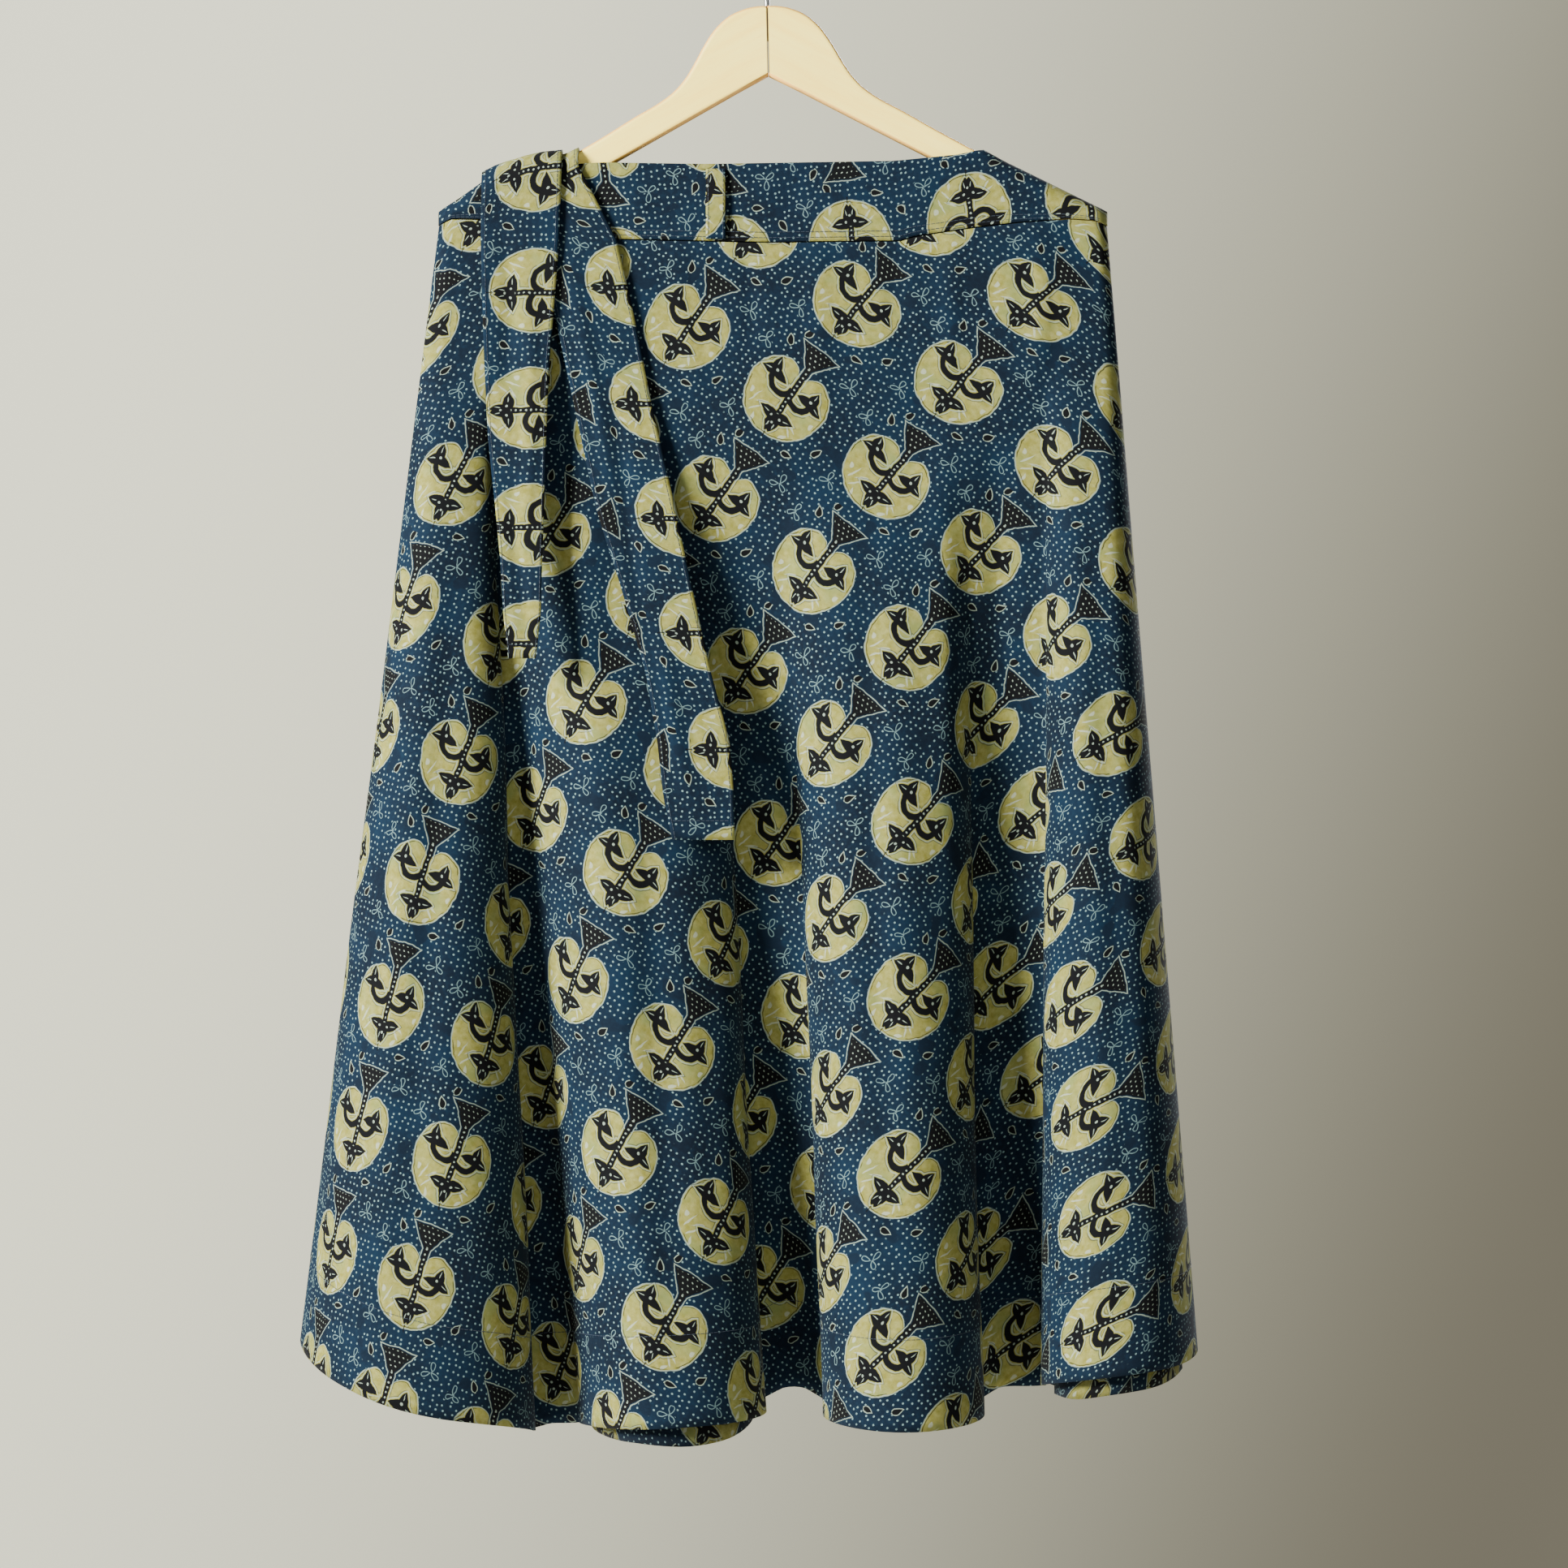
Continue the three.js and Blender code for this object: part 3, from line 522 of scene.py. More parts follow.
# The underlap: the inner cotton panel of the wrap, sewn to the band and nested in the front's
# folds. Its hem hangs a little lower under two of them.
UNDERLAP_TOP_OFFSET, UNDERLAP_HEM_OFFSET = 1.9, 9.0
UNDERLAP_DROPS = np.array([
    (-260, -8), (-140, -8), (-108, 8), (-40, 14), (-14, 8), (-2, -8), (90, -12), (182, -8),
    (196, 12), (262, 12), (287, 4)], float)
UNDERLAP_COLUMNS = slice(18, 154)
UNDERLAP_PRINT_SHIFT = (31.0, 17.0)
shift = np.linspace(UNDERLAP_TOP_OFFSET, UNDERLAP_HEM_OFFSET, PANEL_ROWS)[:, None, None]
underlap_places = (front_places + inward(front_places) * shift)[:, UNDERLAP_COLUMNS]
underlap_fall = np.linspace(0, 1, PANEL_ROWS)[:, None] ** 2
underlap_places[..., 2] -= eased(read(UNDERLAP_DROPS, underlap_places[-1, :, 0])) * underlap_fall
underlap_print = [layer[:, UNDERLAP_COLUMNS] + UNDERLAP_PRINT_SHIFT for layer in front_print]
underlap_tucks = [column - UNDERLAP_COLUMNS.start for column in FRONT_TUCK_COLUMNS]
# The underlap takes the darker copy of the cotton, whose lower value is painted shade.
underlap = cloth_piece(
    "underlap_cloth", underlap_places, underlap_print, COTTON_PAINTED_SHADE, CLOTH, underlap_tucks)
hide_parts("underlap_panel")


# The back panel: the same flared cut of cotton, hung in four folds of its own and sewn to the
# back half of the waistband.
BACK_FLOOR, BACK_DIP = 34.0, -8.0
BACK_PRINT_TILT, BACK_FRUIT = -75.0, (20.0, -300.0)
BACK_FOLDS = [dict(zip(FOLD, row)) for row in (
    (287, 168, WAIST_RIGHT, 172, 92, -958, -976, -980, 90, 108, 0.15),
    (142, 12, 150, 26, 102, -980, -986, -980, 104, 110, 0.20),
    (-22, -140, 4, -118, 96, -988, -1003, -1000, 108, 100, 0.17),
    (-168, -311, -150, WAIST_LEFT, 90, -1000, -996, -948, 104, 90, 0.13))]
BACK_VALLEY_HEMS = (-978, -979, -992)
BACK_CREASES = [
    (232, -360, 250, -960, 11, -3.8), (186, -300, 190, -620, 9, 3.0),
    (96, -380, 84, -980, 12, -4.5), (40, -330, 34, -700, 10, 3.2),
    (-64, -360, -84, -990, 11, -4.2), (-110, -320, -118, -640, 9, 2.8),
    (-214, -340, -246, -980, 12, -4.0), (-180, -300, -196, -560, 8, 2.6),
    (120, -214, 112, -320, 7, 1.6), (10, -216, 16, -344, 7, -1.5), (-60, -214, -52, -300, 6, 1.4),
    (-140, -208, -150, -330, 7, 1.7),
]
back_columns = panel_columns(BACK_FOLDS, BACK_VALLEY_HEMS, BACK_FLOOR, BACK_DIP, 1)
back_places = creased(panel_places(back_columns, PANEL_ROWS), BACK_CREASES, PANEL_TREMBLE, 5.0)
back_print = turned_print(back_places, PANEL_MIDDLE, BACK_PRINT_TILT, PRINT_RADIUS, BACK_FRUIT)
back_panel = cloth_piece("back_panel_cloth", back_places, back_print, COTTON)
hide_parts("back_panel")


# The waistband: a 52 mm cotton band in two halves, folded double. It lies over the hanger's arms
# at the sides and stands open between them. Its print hangs head down, turned by 7 degrees.
BAND_TOP = np.array([
    (-218, -202), (-204, -193), (-190, -183), (-180, -177.5), (-170, -174), (-160, -172.5),
    (-134, -171.5), (-110, -170), (-40, -171), (84, -169), (125, -165), (143, -161.5),
    (226, -202)], float)
# Where the band folds over an arm: 1 where it is closed, 0 where it stands open.
FOLD_OVER = np.array([(-160, 1), (-140, 0), (139, 0), (158, 1)], float)
BAND_PULL = 0.5
BAND_ROWS, BAND_COLUMNS, BAND_CROWDING = 22, 121, 0.8
BAND_CLOTH, BAND_TREMBLE, BAND_TURN = 1.3, 0.5, math.radians(7)
BAND_CREASES = [
    (-90, -176, -84, -216, 7, 1.0), (14, -176, 20, -214, 8, -0.9), (104, -172, 100, -214, 7, 0.9)]


def band_point(side, x, t):
    """The band's middle surface at x, t from 0 at its seam to 1 at its top."""
    depth, fold = waist_depth(x), read(FOLD_OVER, x)
    low, high = read(BAND_SEAM, x) + WALL / 4, read(BAND_TOP, x)
    radius = WAIST_HALF_DEPTH * fold
    straight = high - radius - low
    along = t * (straight + radius * math.pi / 2)
    turn = np.where(fold > 0, np.maximum(0, along - straight) / np.maximum(radius, 1e-6), 0)
    y = side * np.maximum(depth * (1 - fold + fold * np.cos(turn)), BAND_PULL)
    return np.stack((x, y, low + np.minimum(along, straight) + radius * np.sin(turn)), axis=-1)


def band_places(side):
    """One half of the band as a grid, with its columns closer together at the sides."""
    even = np.linspace(-1, 1, BAND_COLUMNS)
    swept = np.sin(even / 2 * math.pi)
    half = (WAIST_RIGHT - WAIST_LEFT) / 2
    x = (WAIST_LEFT + WAIST_RIGHT) / 2 + half * blend(even, swept, BAND_CROWDING)
    x = x if side < 0 else x[::-1]
    t = np.linspace(1, 0, BAND_ROWS)[:, None]
    return band_point(side, np.broadcast_to(x, (BAND_ROWS, x.size)), t)


for side, part, fruit_x in ((-1, "front", 56.7), (1, "back", 20.0)):
    places = creased(band_places(side), BAND_CREASES, BAND_TREMBLE, 9.0 + side)
    height = lengths(places[::-1], 0)[::-1]
    band_x = side * (places[..., 0] - fruit_x)
    band_print = np.stack((
        height * math.sin(BAND_TURN) - band_x * math.cos(BAND_TURN),
        -height * math.cos(BAND_TURN) - band_x * math.sin(BAND_TURN)), axis=-1)
    band = cloth_piece(f"waistband_{part}_cloth", places, [band_print], COTTON, BAND_CLOTH)
    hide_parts(f"waistband_{part}")


# The belt loop: a narrow strip of the cotton, folded and tacked at the band's top and foot. It
# bows a little off the band between its ends.
LOOP_LEFT, LOOP_RIGHT, LOOP_LOW, LOOP_HIGH = -40.5, -27.5, 0.02, 0.93
LOOP_BOW, SEAM_GAP, LOOP_CLOTH = 1.5, 0.3, 1.2
LOOP_ROWS, LOOP_COLUMNS = 26, 9
LOOP_PRINT_SHIFT = (52.0, 196.0)
loop_t = np.linspace(LOOP_HIGH, LOOP_LOW, LOOP_ROWS)[:, None]
loop_x = np.broadcast_to(np.linspace(LOOP_LEFT, LOOP_RIGHT, LOOP_COLUMNS), (LOOP_ROWS, LOOP_COLUMNS))
loop_places = band_point(-1, loop_x, loop_t)
loop_lift = WALL + SEAM_GAP + LOOP_BOW * np.sin(np.linspace(0, math.pi, LOOP_ROWS))
loop_places[..., 1] -= loop_lift[:, None]
loop_print = np.stack((loop_x, loop_places[..., 2]), axis=-1) + LOOP_PRINT_SHIFT
belt_loop = cloth_piece("belt_loop_cloth", loop_places, [loop_print], COTTON, LOOP_CLOTH)
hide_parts("belt_loop")


# The two ties: strips of the cotton folded double, sewn behind the band, crossing its top beside
# the hanger's arm and hanging down the front, one over the other.
TIE_WALL, TIE_CLOTH, TIE_TREMBLE = 2.0, 1.3, 0.9
TIE_ARCH_STEPS, TIE_SHOULDER_STEPS, TIE_LEVELS, TIE_COLUMNS, TIE_EVENING = 18, 10, 64, 21, 4
TIE_BACK_REACH = 16.0
# How near in height and to the side the skirt's folds have to lie for a tie to rest on them.
NEAR_LEVEL, NEAR_SIDE = 8, 18
OVER_ARM = np.array([(-168, 0), (-150, 3.2), (-134, 4), (-125, 7.8)], float)
# top: the tie's edges on the band's top; lift: its gap to the skirt; swing: how much further
# forward its end hangs; rows: heights with the tie's left and right edges.
FRONT_TAIL = dict(top=(-189, -136), lift=4.9, swing=17, rows=np.array([
    (-222, -189.5, -137.5), (-262, -188.5, -140.5), (-304, -187, -144), (-354, -184, -145.5),
    (-398, -179, -146.5), (-436, -175, -147.5), (-472, -172.5, -148), (-500, -169, -151)]))
REAR_TAIL = dict(top=(-176, -125), lift=2, swing=3, rows=np.array([
    (-222, -152, -99.5), (-270, -141, -88.5), (-335, -127, -75.5), (-400, -113, -60.5),
    (-450, -97, -50), (-508, -80, -37), (-554, -72, -24.5), (-590, -68, -21.5), (-619, -62, -21)]))


def tail_edge(tail, z, column):
    rows = tail["rows"][::-1]
    return np.interp(z, rows[:, 0], rows[:, column])


def foremost(left, right, z):
    """The foremost y of the skirt's front at a height, between two edges of a tie."""
    x, y, height = np.moveaxis(front_places, -1, 0)
    near = (np.abs(height - z) < NEAR_LEVEL) & (x > left - NEAR_SIDE) & (x < right + NEAR_SIDE)
    return min(-WAIST_HALF_DEPTH, y[near].min())


def tail_places(tail):
    """One tie as a grid: up behind the band, over its top in an arch, and down the front."""
    lift = (WALL + TIE_WALL) / 2 + tail["lift"]
    reach = WAIST_HALF_DEPTH + lift
    u = np.linspace(0, 1, TIE_COLUMNS)
    top_x = blend(*tail["top"], u)
    middle = read(BAND_TOP, top_x) + read(OVER_ARM, top_x) + lift - reach
    rows = []

    def lay(x, y, z):
        rows.append(np.stack(np.broadcast_arrays(x, y, z), axis=-1))

    for s in (1, 0.66, 0.33):
        lay(top_x, reach, middle - TIE_BACK_REACH * s)
    for turn in np.linspace(math.pi, 0, TIE_ARCH_STEPS):
        lay(top_x, -reach * math.cos(turn), middle + reach * math.sin(turn))
    first_z, first_left, first_right = tail["rows"][0]
    for s in np.linspace(0, 1, TIE_SHOULDER_STEPS)[1:-1]:
        lay(blend(top_x, blend(first_left, first_right, u), s), -reach, blend(middle, first_z, s))
    last_z = tail["rows"][-1][0]
    levels = np.linspace(first_z, last_z, TIE_LEVELS)
    forward = []
    for z in levels:
        left, right = tail_edge(tail, z, 1), tail_edge(REAR_TAIL, z, 2)
        fallen = (first_z - z) / (first_z - last_z)
        forward.append(foremost(left, right, z) - lift - tail["swing"] * fallen ** 2)
    for z, y in zip(levels, eased(forward, TIE_EVENING)):
        lay(blend(tail_edge(tail, z, 1), tail_edge(tail, z, 2), u), y, z)
    return np.array(rows)


TAIL_CREASES = {
    "front": [(-176, -215, -168, -330, 5, -1.6), (-158, -240, -156, -420, 6, 1.8),
              (-166, -380, -160, -500, 5, -1.5)],
    "rear": [(-128, -230, -104, -400, 5, 1.8), (-106, -320, -76, -500, 5, -1.6),
             (-74, -480, -44, -610, 6, 1.8)],
}
tie_grids = {}
for part, tail, fruit, tie_length in (
        ("front", FRONT_TAIL, (-156.6, -257.8), 0.37), ("rear", REAR_TAIL, (-88.0, -250.0), 0.50)):
    places = creased(tail_places(tail), TAIL_CREASES[part], TIE_TREMBLE, 20.0)
    run = np.broadcast_to(lengths(places, 0).mean(axis=1, keepdims=True), places.shape[:2])
    width = lengths(places, 1)
    # The print's fruit is set by its place in front; cloth behind the band doesn't count.
    near = np.where(places[..., 1] > 0, np.inf,
                    (places[..., 0] - fruit[0]) ** 2 + (places[..., 2] - fruit[1]) ** 2)
    spot = np.unravel_index(np.argmin(near), near.shape)
    tie_print = np.stack((run - run[spot], width - width[:, spot[1]:spot[1] + 1]), axis=-1)
    tie = cloth_piece(f"tie_{part}_tail_cloth", places, [tie_print], COTTON, TIE_CLOTH)
    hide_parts(f"tie_{part}_tail")
    tie_grids[part] = places


# The hems: each panel's lower edge is turned up inside and stitched 60 mm above it.
# The turned-up cloth lies just inside the panel.
HEM_DEPTH, PANEL_LENGTH, HEM_SET_IN = 60.0, 790.0, 1.0
hem_rows = int(round(PANEL_ROWS * HEM_DEPTH / PANEL_LENGTH)) + 1
for side, places, prints, stretches, hem_run in (
        ("front", front_places, front_print, FRONT_TUCK_COLUMNS, 1.06),
        ("back", back_places, back_print, (), 0.97)):
    strip = (places + inward(places) * HEM_SET_IN)[-hem_rows:]
    turned = [layer[-hem_rows:] * (1, -1) for layer in prints]
    # The turned-up cloth takes the darker copy of the cotton, whose lower value is painted shade.
    hem = cloth_piece(f"{side}_hem_turnup", strip, turned, COTTON_PAINTED_SHADE, CLOTH, stretches)


# The topstitching: dark thread in 2.4 mm stitches along the band, loop, ties and hems.
STITCH, STITCH_GAP, THREAD_RADIUS, THREAD_SIDES = 2.4, 0.7, 0.2, 5
# How high a thread's middle lies over the cloth, and over the band, whose face is rounder.
THREAD_LIFT, BAND_THREAD_LIFT = THREAD_RADIUS * 0.4, 0.1
BAND_STITCH_ROWS = (0.05, 0.12)
THREAD_DARK, THREAD_PALE = linear(14, 20, 30), linear(44, 58, 74)
thread = Finish("dark_thread")
thread_place = thread.node("ShaderNodeTexCoord", out="Object")
thread_twist = thread.noise(thread_place, 2400.0, 2.0)
thread_material = thread.surface(**{
    "Base Color": thread.mix(thread_twist, THREAD_DARK, THREAD_PALE),
    "Roughness": 0.7 + thread_twist * 0.1,
})


def sew(name, lines):
    """Stitches laid along lines of points that lie on the cloth's face."""
    bm = bmesh.new()
    for line in lines:
        run = np.concatenate(((0,), np.cumsum(np.linalg.norm(np.diff(line, axis=0), axis=1))))
        for start in np.arange(STITCH_GAP, run[-1] - STITCH, STITCH + STITCH_GAP):
            head, tail = (Vector([np.interp(s, run, line[:, k]) for k in range(3)])
                          for s in (start, start + STITCH))
            axis = tail - head
            turn = axis.to_track_quat("Z", "Y").to_matrix().to_4x4()
            place = Matrix.Translation((head + tail) / 2 * MM) @ turn
            bmesh.ops.create_cone(bm, cap_ends=True, segments=THREAD_SIDES, radius1=THREAD_RADIUS * MM,
                                  radius2=THREAD_RADIUS * MM, depth=axis.length * MM, matrix=place)
    mesh = bpy.data.meshes.new(name)
    bm.to_mesh(mesh)
    bm.free()
    mesh.materials.append(thread_material)
    piece = bpy.data.objects.new(name, mesh)
    bpy.context.scene.collection.objects.link(piece)
    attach(piece, "root")


def outer_face(places, thickness):
    return places - inward(places) * (thickness / 2 + THREAD_LIFT)


def face_line(places, row, thickness):
    """The cloth's outer face along one row of a grid, which may lie between two rows."""
    face = outer_face(places, thickness)
    low = int(min(row, places.shape[0] - 2))
    return blend(face[low], face[low + 1], row - low)


def face_edges(places, thickness):
    """The cloth's outer face along the second and the second last column of a grid."""
    face = outer_face(places, thickness)
    return [face[:, 1], face[:, -2]]


def band_line(side, above):
    x = np.linspace(WAIST_LEFT + 3, WAIST_RIGHT - 3, 150)
    line = band_point(side, x, above)
    line[:, 1] += side * (BAND_CLOTH / 2 + BAND_THREAD_LIFT)
    return line


hem_row = (PANEL_ROWS - 1) * (1 - HEM_DEPTH / PANEL_LENGTH)
sew("hem_stitching", [face_line(front_places, hem_row, CLOTH), face_line(back_places, hem_row, CLOTH)])
sew("band_stitching", [band_line(side, above) for side in (-1, 1) for above in BAND_STITCH_ROWS])
sew("loop_stitching", face_edges(loop_places, LOOP_CLOTH))
for part, places in tie_grids.items():
    across_end = face_line(places, places.shape[0] - 3, TIE_CLOTH)[1:-1]
    sew(f"tie_{part}_stitching", [*face_edges(places, TIE_CLOTH), across_end])


# The hanger: two halves of pale varnished board glued at the middle, with rounded edges
# coloured a darker orange. It hangs a little askew from its hook.
HANGER_THICKNESS, HANGER_ROUNDING, HALF_GAP = 11.0, 2.6, 0.15
HANGER_TILT, ARM_ANGLE = math.radians(1.24), math.radians(27.6)
HUMP_TOP, ARM_TIP, ARM_DEPTH = -65.0, 218.5, 21.5
HANGER_TOP_EDGE = np.array([
    (HALF_GAP, HUMP_TOP), (8, -65.4), (16, -67.2), (26, -71.8), (35.5, -80.5), (43, -91.5),
    (49.5, -103), (56, -113), (64, -121.5), (75, -129.2), (90, -137.5), (110, -149.4), (134, -163)])
arm_slope = math.tan(ARM_ANGLE)
tip_top = HANGER_TOP_EDGE[-1, 1] - (ARM_TIP - HANGER_TOP_EDGE[-1, 0]) * arm_slope
HANGER_TIP = np.array([
    (ARM_TIP - 5, tip_top + 5 * arm_slope), (ARM_TIP, tip_top - 4),
    (ARM_TIP - 1, tip_top - ARM_DEPTH / 2), (ARM_TIP - 7, tip_top - ARM_DEPTH + 6),
    (ARM_TIP - 16, tip_top - ARM_DEPTH + 8)])
HANGER_UNDERSIDE = np.array([(20, -121.8), (HALF_GAP, -111.5)])
WOOD_PALE, WOOD_WARM, WOOD_PORE = linear(255, 232, 118), linear(250, 212, 84), linear(206, 170, 108)
GLUE_LINE, ROUNDED_EDGE_ORANGE = linear(60, 40, 18), linear(214, 150, 70)
# A face that looks to the front or back by more than this is flat, the rest is rounded.
FLAT_FACE = 0.98

wood = Finish("hanger_wood")
wood_place = wood.node("ShaderNodeTexCoord", out="Object")
wood_x, wood_y, wood_z = (wood.axis(wood_place, letter) for letter in "XYZ")
facing_y = abs(wood.axis(wood.node("ShaderNodeNewGeometry", out="Normal"), "Y"))
# Across the grain of each arm, so that rings run down its length.
grain_side = abs(wood_x) * math.sin(ARM_ANGLE) + wood_z * math.cos(ARM_ANGLE)
grain_run = abs(wood_x) * math.cos(ARM_ANGLE) - wood_z * math.sin(ARM_ANGLE)


def grain(run_scale, thickness_scale, side_scale, detail, roughness):
    at = {0: grain_run * run_scale, 1: wood_y * thickness_scale, 2: grain_side * side_scale}
    return wood.noise(wood.node("ShaderNodeCombineXYZ", None, at), 1.0, detail, roughness)


rings = grain(9.0, 90.0, 130.0, 4.0, 0.6)
pores = grain(60.0, 900.0, 1500.0, 2.0, 0.5)
board = wood.mix((rings - 0.35) * 2.2, WOOD_PALE, WOOD_WARM)
board = wood.mix((pores - 0.6) * 1.6, board, WOOD_PORE)
joint = abs(wood_x + (wood_z - HUMP_TOP * MM) * math.tan(HANGER_TILT))
board = wood.mix((0.0007 - joint).soft(0.0006), board, GLUE_LINE)
# Where the board's face turns away from the front and back, on its rounded edges, it is coloured a
# darker orange.
edges = (0.86 - facing_y).soft(0.25)
board = wood.mix(edges * 0.75, board, ROUNDED_EDGE_ORANGE)
wood_relief = {"Strength": 0.2, "Distance": 0.0002, "Height": rings + pores * 0.4}
wood_material = wood.surface(**{
    "Base Color": board, "Roughness": 0.36 + rings * 0.14, "Coat Weight": 0.25, "Coat Roughness": 0.2,
    "Normal": wood.node("ShaderNodeBump", None, wood_relief),
})


def smoothed(points, steps=4):
    """The same line with its bends rounded: each span is a cubic through its neighbours."""
    padded = np.vstack((2 * points[0] - points[1], points, 2 * points[-1] - points[-2]))
    t = np.linspace(0, 1, steps, endpoint=False)[:, None]
    spans = []
    for p0, p1, p2, p3 in zip(padded, padded[1:], padded[2:], padded[3:]):
        spans.append(0.5 * (2 * p1 + (p2 - p0) * t + (2 * p0 - 5 * p1 + 4 * p2 - p3) * t ** 2
                            + (3 * p1 - p0 - 3 * p2 + p3) * t ** 3))
    return np.vstack((*spans, points[-1:]))


for part, mirror in (("right", 1), ("left", -1)):
    outline = np.vstack((smoothed(HANGER_TOP_EDGE), smoothed(HANGER_TIP, 3), HANGER_UNDERSIDE))
    bm = bmesh.new()
    corners = [bm.verts.new((x * mirror * MM, -HANGER_THICKNESS / 2 * MM, z * MM)) for x, z in outline]
    face = bm.faces.new(corners)
    grown = bmesh.ops.extrude_face_region(bm, geom=[face])
    moved = [v for v in grown["geom"] if isinstance(v, bmesh.types.BMVert)]
    bmesh.ops.translate(bm, verts=moved, vec=(0, HANGER_THICKNESS * MM, 0))
    bmesh.ops.recalc_face_normals(bm, faces=bm.faces)
    # The edges round each flat face, apart from the glued ones at the middle.
    rims = [e for e in bm.edges if abs(e.verts[0].co.y - e.verts[1].co.y) < 1e-6
            and max(abs(v.co.x) for v in e.verts) > 1.0 * MM]
    bmesh.ops.bevel(bm, geom=rims, affect="EDGES", offset=HANGER_ROUNDING * MM, segments=4,
                    profile=0.5, material=-1)
    hump = Matrix.Translation((0, 0, HUMP_TOP * MM))
    turn = hump @ Matrix.Rotation(-HANGER_TILT, 4, "Y") @ hump.inverted()
    bmesh.ops.transform(bm, matrix=turn, verts=bm.verts)
    mesh = bpy.data.meshes.new(f"hanger_{part}_board")
    bm.to_mesh(mesh)
    bm.free()
    mesh.materials.append(wood_material)
    for polygon in mesh.polygons:
        polygon.use_smooth = abs(polygon.normal.y) < FLAT_FACE
    board_piece = bpy.data.objects.new(f"hanger_{part}_board", mesh)
    bpy.context.scene.collection.objects.link(board_piece)
    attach(board_piece, "root")
    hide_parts(f"hanger_{part}_half")


# The hook: plated steel wire, up from its hole in the board and round in one bend that sits on
# the wardrobe rail.
WIRE_RADIUS, HOOK_INNER_RADIUS = 1.8, 17.0
HOOK_STEM = [(0, -88), (0, -65), (0, -48), (2.2, -42)]
HOOK_BEND_DEGREES = range(-42, 206, 13)
STEEL_DARK, STEEL_PALE = linear(112, 112, 108), linear(142, 142, 138)
hook_radius = HOOK_INNER_RADIUS + WIRE_RADIUS
hook_bend = [(hook_radius * math.cos(math.radians(angle)),
              -HOOK_INNER_RADIUS + hook_radius * math.sin(math.radians(angle)))
             for angle in HOOK_BEND_DEGREES]
hook_line = smoothed(np.array(HOOK_STEM + hook_bend, float), 6)
hook_curve = bpy.data.curves.new("hook_line", "CURVE")
hook_curve.dimensions = "3D"
hook_curve.bevel_depth = WIRE_RADIUS * MM
hook_curve.bevel_resolution = 4
hook_curve.use_fill_caps = True
spline = hook_curve.splines.new("POLY")
spline.points.add(len(hook_line) - 1)
for point, (x, z) in zip(spline.points, hook_line):
    point.co = (x * MM, 0, z * MM, 1)
steel = Finish("hook_steel")
steel_place = steel.node("ShaderNodeTexCoord", out="Object")
drawn = steel.noise(steel_place, 900.0, 3.0)
steel_material = steel.surface(**{
    "Base Color": steel.mix(drawn, STEEL_DARK, STEEL_PALE),
    "Metallic": 1.0, "Roughness": 0.22 + drawn * 0.16,
})
hook_curve.materials.append(steel_material)
hook_shape = bpy.data.objects.new("hook_shape", hook_curve)
bpy.context.scene.collection.objects.link(hook_shape)
bpy.context.view_layer.update()
finished_hook = hook_shape.evaluated_get(bpy.context.evaluated_depsgraph_get())
hook_mesh = bpy.data.meshes.new_from_object(finished_hook)
bpy.data.objects.remove(hook_shape)
hook_mesh.polygons.foreach_set("use_smooth", [True] * len(hook_mesh.polygons))
hook = bpy.data.objects.new("hanger_hook_wire", hook_mesh)
bpy.context.scene.collection.objects.link(hook)
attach(hook, "root")
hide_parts("hanger_hook")


# The studio: a pale paper floor far below, a soft grey surround that is lighter on the left, a
# large soft light from the front left, a weak one from the front right and one from behind.
floor_height, floor_radius = -2.0, 4.5
surround_left, surround_right = (1.62, 1.6, 1.22, 1.0), (0.2, 0.184, 0.135, 1.0)
surround_light = 0.1
skirt_middle = Vector((0, 0, -0.6))
bm = bmesh.new()
bmesh.ops.create_circle(bm, cap_ends=True, segments=96, radius=floor_radius,
                        matrix=Matrix.Translation((0, 0, floor_height)))
floor_mesh = bpy.data.meshes.new("floor")
bm.to_mesh(floor_mesh)
bm.free()
paper = Finish("floor_paper")
paper_place = paper.node("ShaderNodeTexCoord", out="Object")
floor_mesh.materials.append(paper.surface(**{
    "Base Color": paper.mix(paper.noise(paper_place, 1.5), linear(196, 193, 186), linear(206, 203, 196)),
    "Roughness": 0.9,
}))
floor = bpy.data.objects.new("floor", floor_mesh)
bpy.context.scene.collection.objects.link(floor)

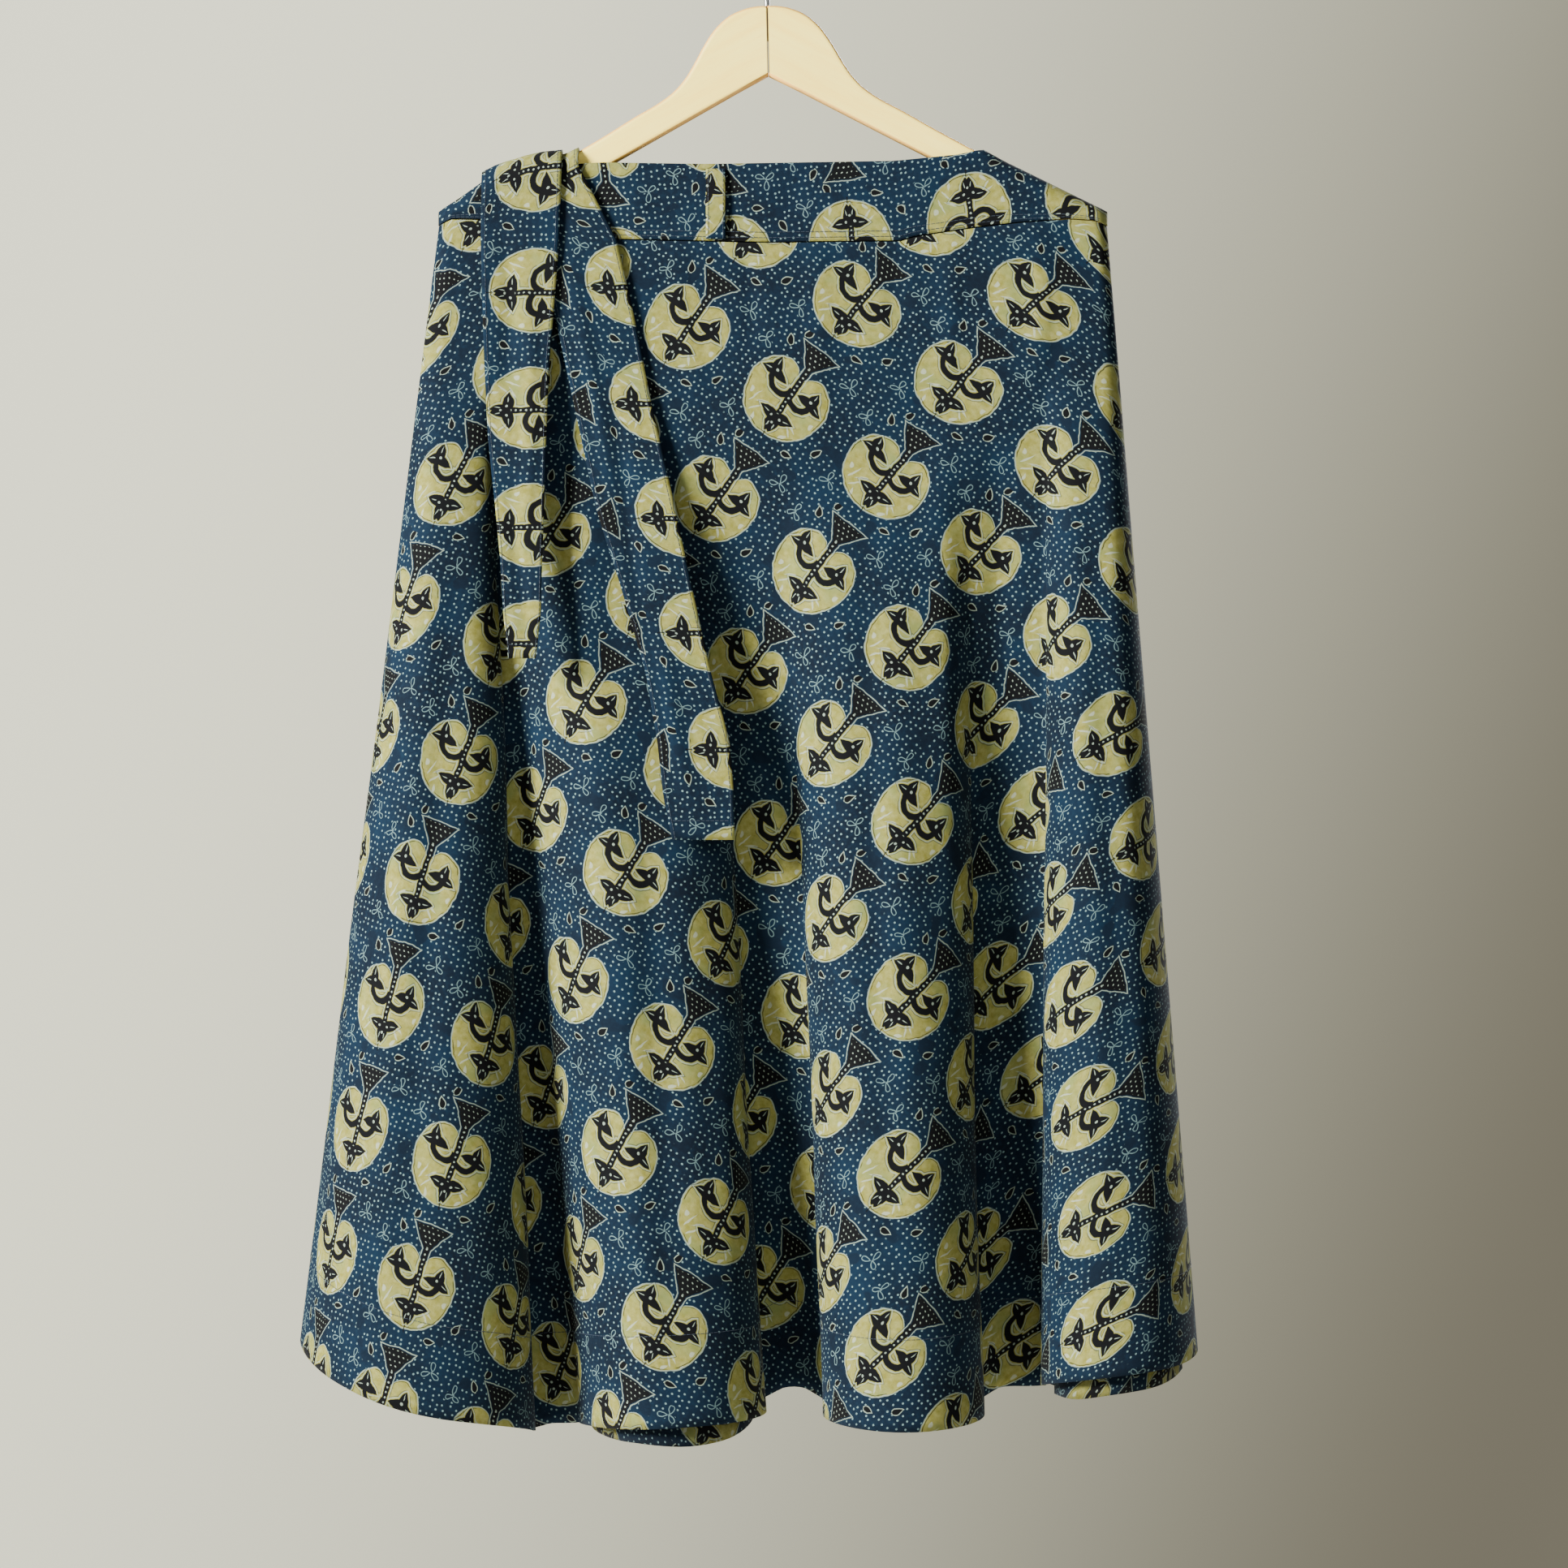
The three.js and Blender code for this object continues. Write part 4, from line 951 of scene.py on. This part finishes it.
world = bpy.data.worlds.new("studio")
bpy.context.scene.world = world
world.use_nodes = True
sky = world.node_tree
sky.nodes.clear()
direction = sky.nodes.new("ShaderNodeTexCoord")
apart = sky.nodes.new("ShaderNodeVectorMath")
apart.operation = "DOT_PRODUCT"
apart.inputs[1].default_value = (1.0, 0.0, -0.35)
sky.links.new(direction.outputs["Generated"], apart.inputs[0])
reach = sky.nodes.new("ShaderNodeMapRange")
reach.interpolation_type = "SMOOTHSTEP"
sky.links.new(apart.outputs["Value"], reach.inputs["Value"])
reach.inputs["From Min"].default_value, reach.inputs["From Max"].default_value = -0.22, 0.22
wall = sky.nodes.new("ShaderNodeMix")
wall.data_type = "RGBA"
sky.links.new(reach.outputs[0], wall.inputs[0])
wall.inputs[6].default_value = surround_left
wall.inputs[7].default_value = surround_right
# The surround shows at full strength behind the skirt and lights it at a small part of that.
sight = sky.nodes.new("ShaderNodeLightPath")
strength = sky.nodes.new("ShaderNodeMapRange")
sky.links.new(sight.outputs["Is Camera Ray"], strength.inputs["Value"])
strength.inputs["To Min"].default_value, strength.inputs["To Max"].default_value = surround_light, 1.0
background = sky.nodes.new("ShaderNodeBackground")
sky.links.new(wall.outputs[2], background.inputs["Color"])
sky.links.new(strength.outputs[0], background.inputs["Strength"])
world_output = sky.nodes.new("ShaderNodeOutputWorld")
sky.links.new(background.outputs[0], world_output.inputs["Surface"])

for name, place, size, power, colour in (
        ("key", (-2.7, -1.8, 0.7), 1.1, 600.0, (1.0, 0.985, 0.96)),
        ("fill", (1.5, -3.0, 0.1), 2.0, 34.0, (0.95, 0.98, 1.0)),
        ("back", (1.4, 2.6, 0.8), 1.8, 180.0, (1.0, 1.0, 1.0))):
    lamp = bpy.data.lights.new(name, "AREA")
    lamp.size, lamp.energy, lamp.color = size, power, colour
    stand = bpy.data.objects.new(name, lamp)
    stand.location = place
    stand.rotation_euler = (skirt_middle - Vector(place)).to_track_quat("-Z", "Y").to_euler()
    bpy.context.scene.collection.objects.link(stand)
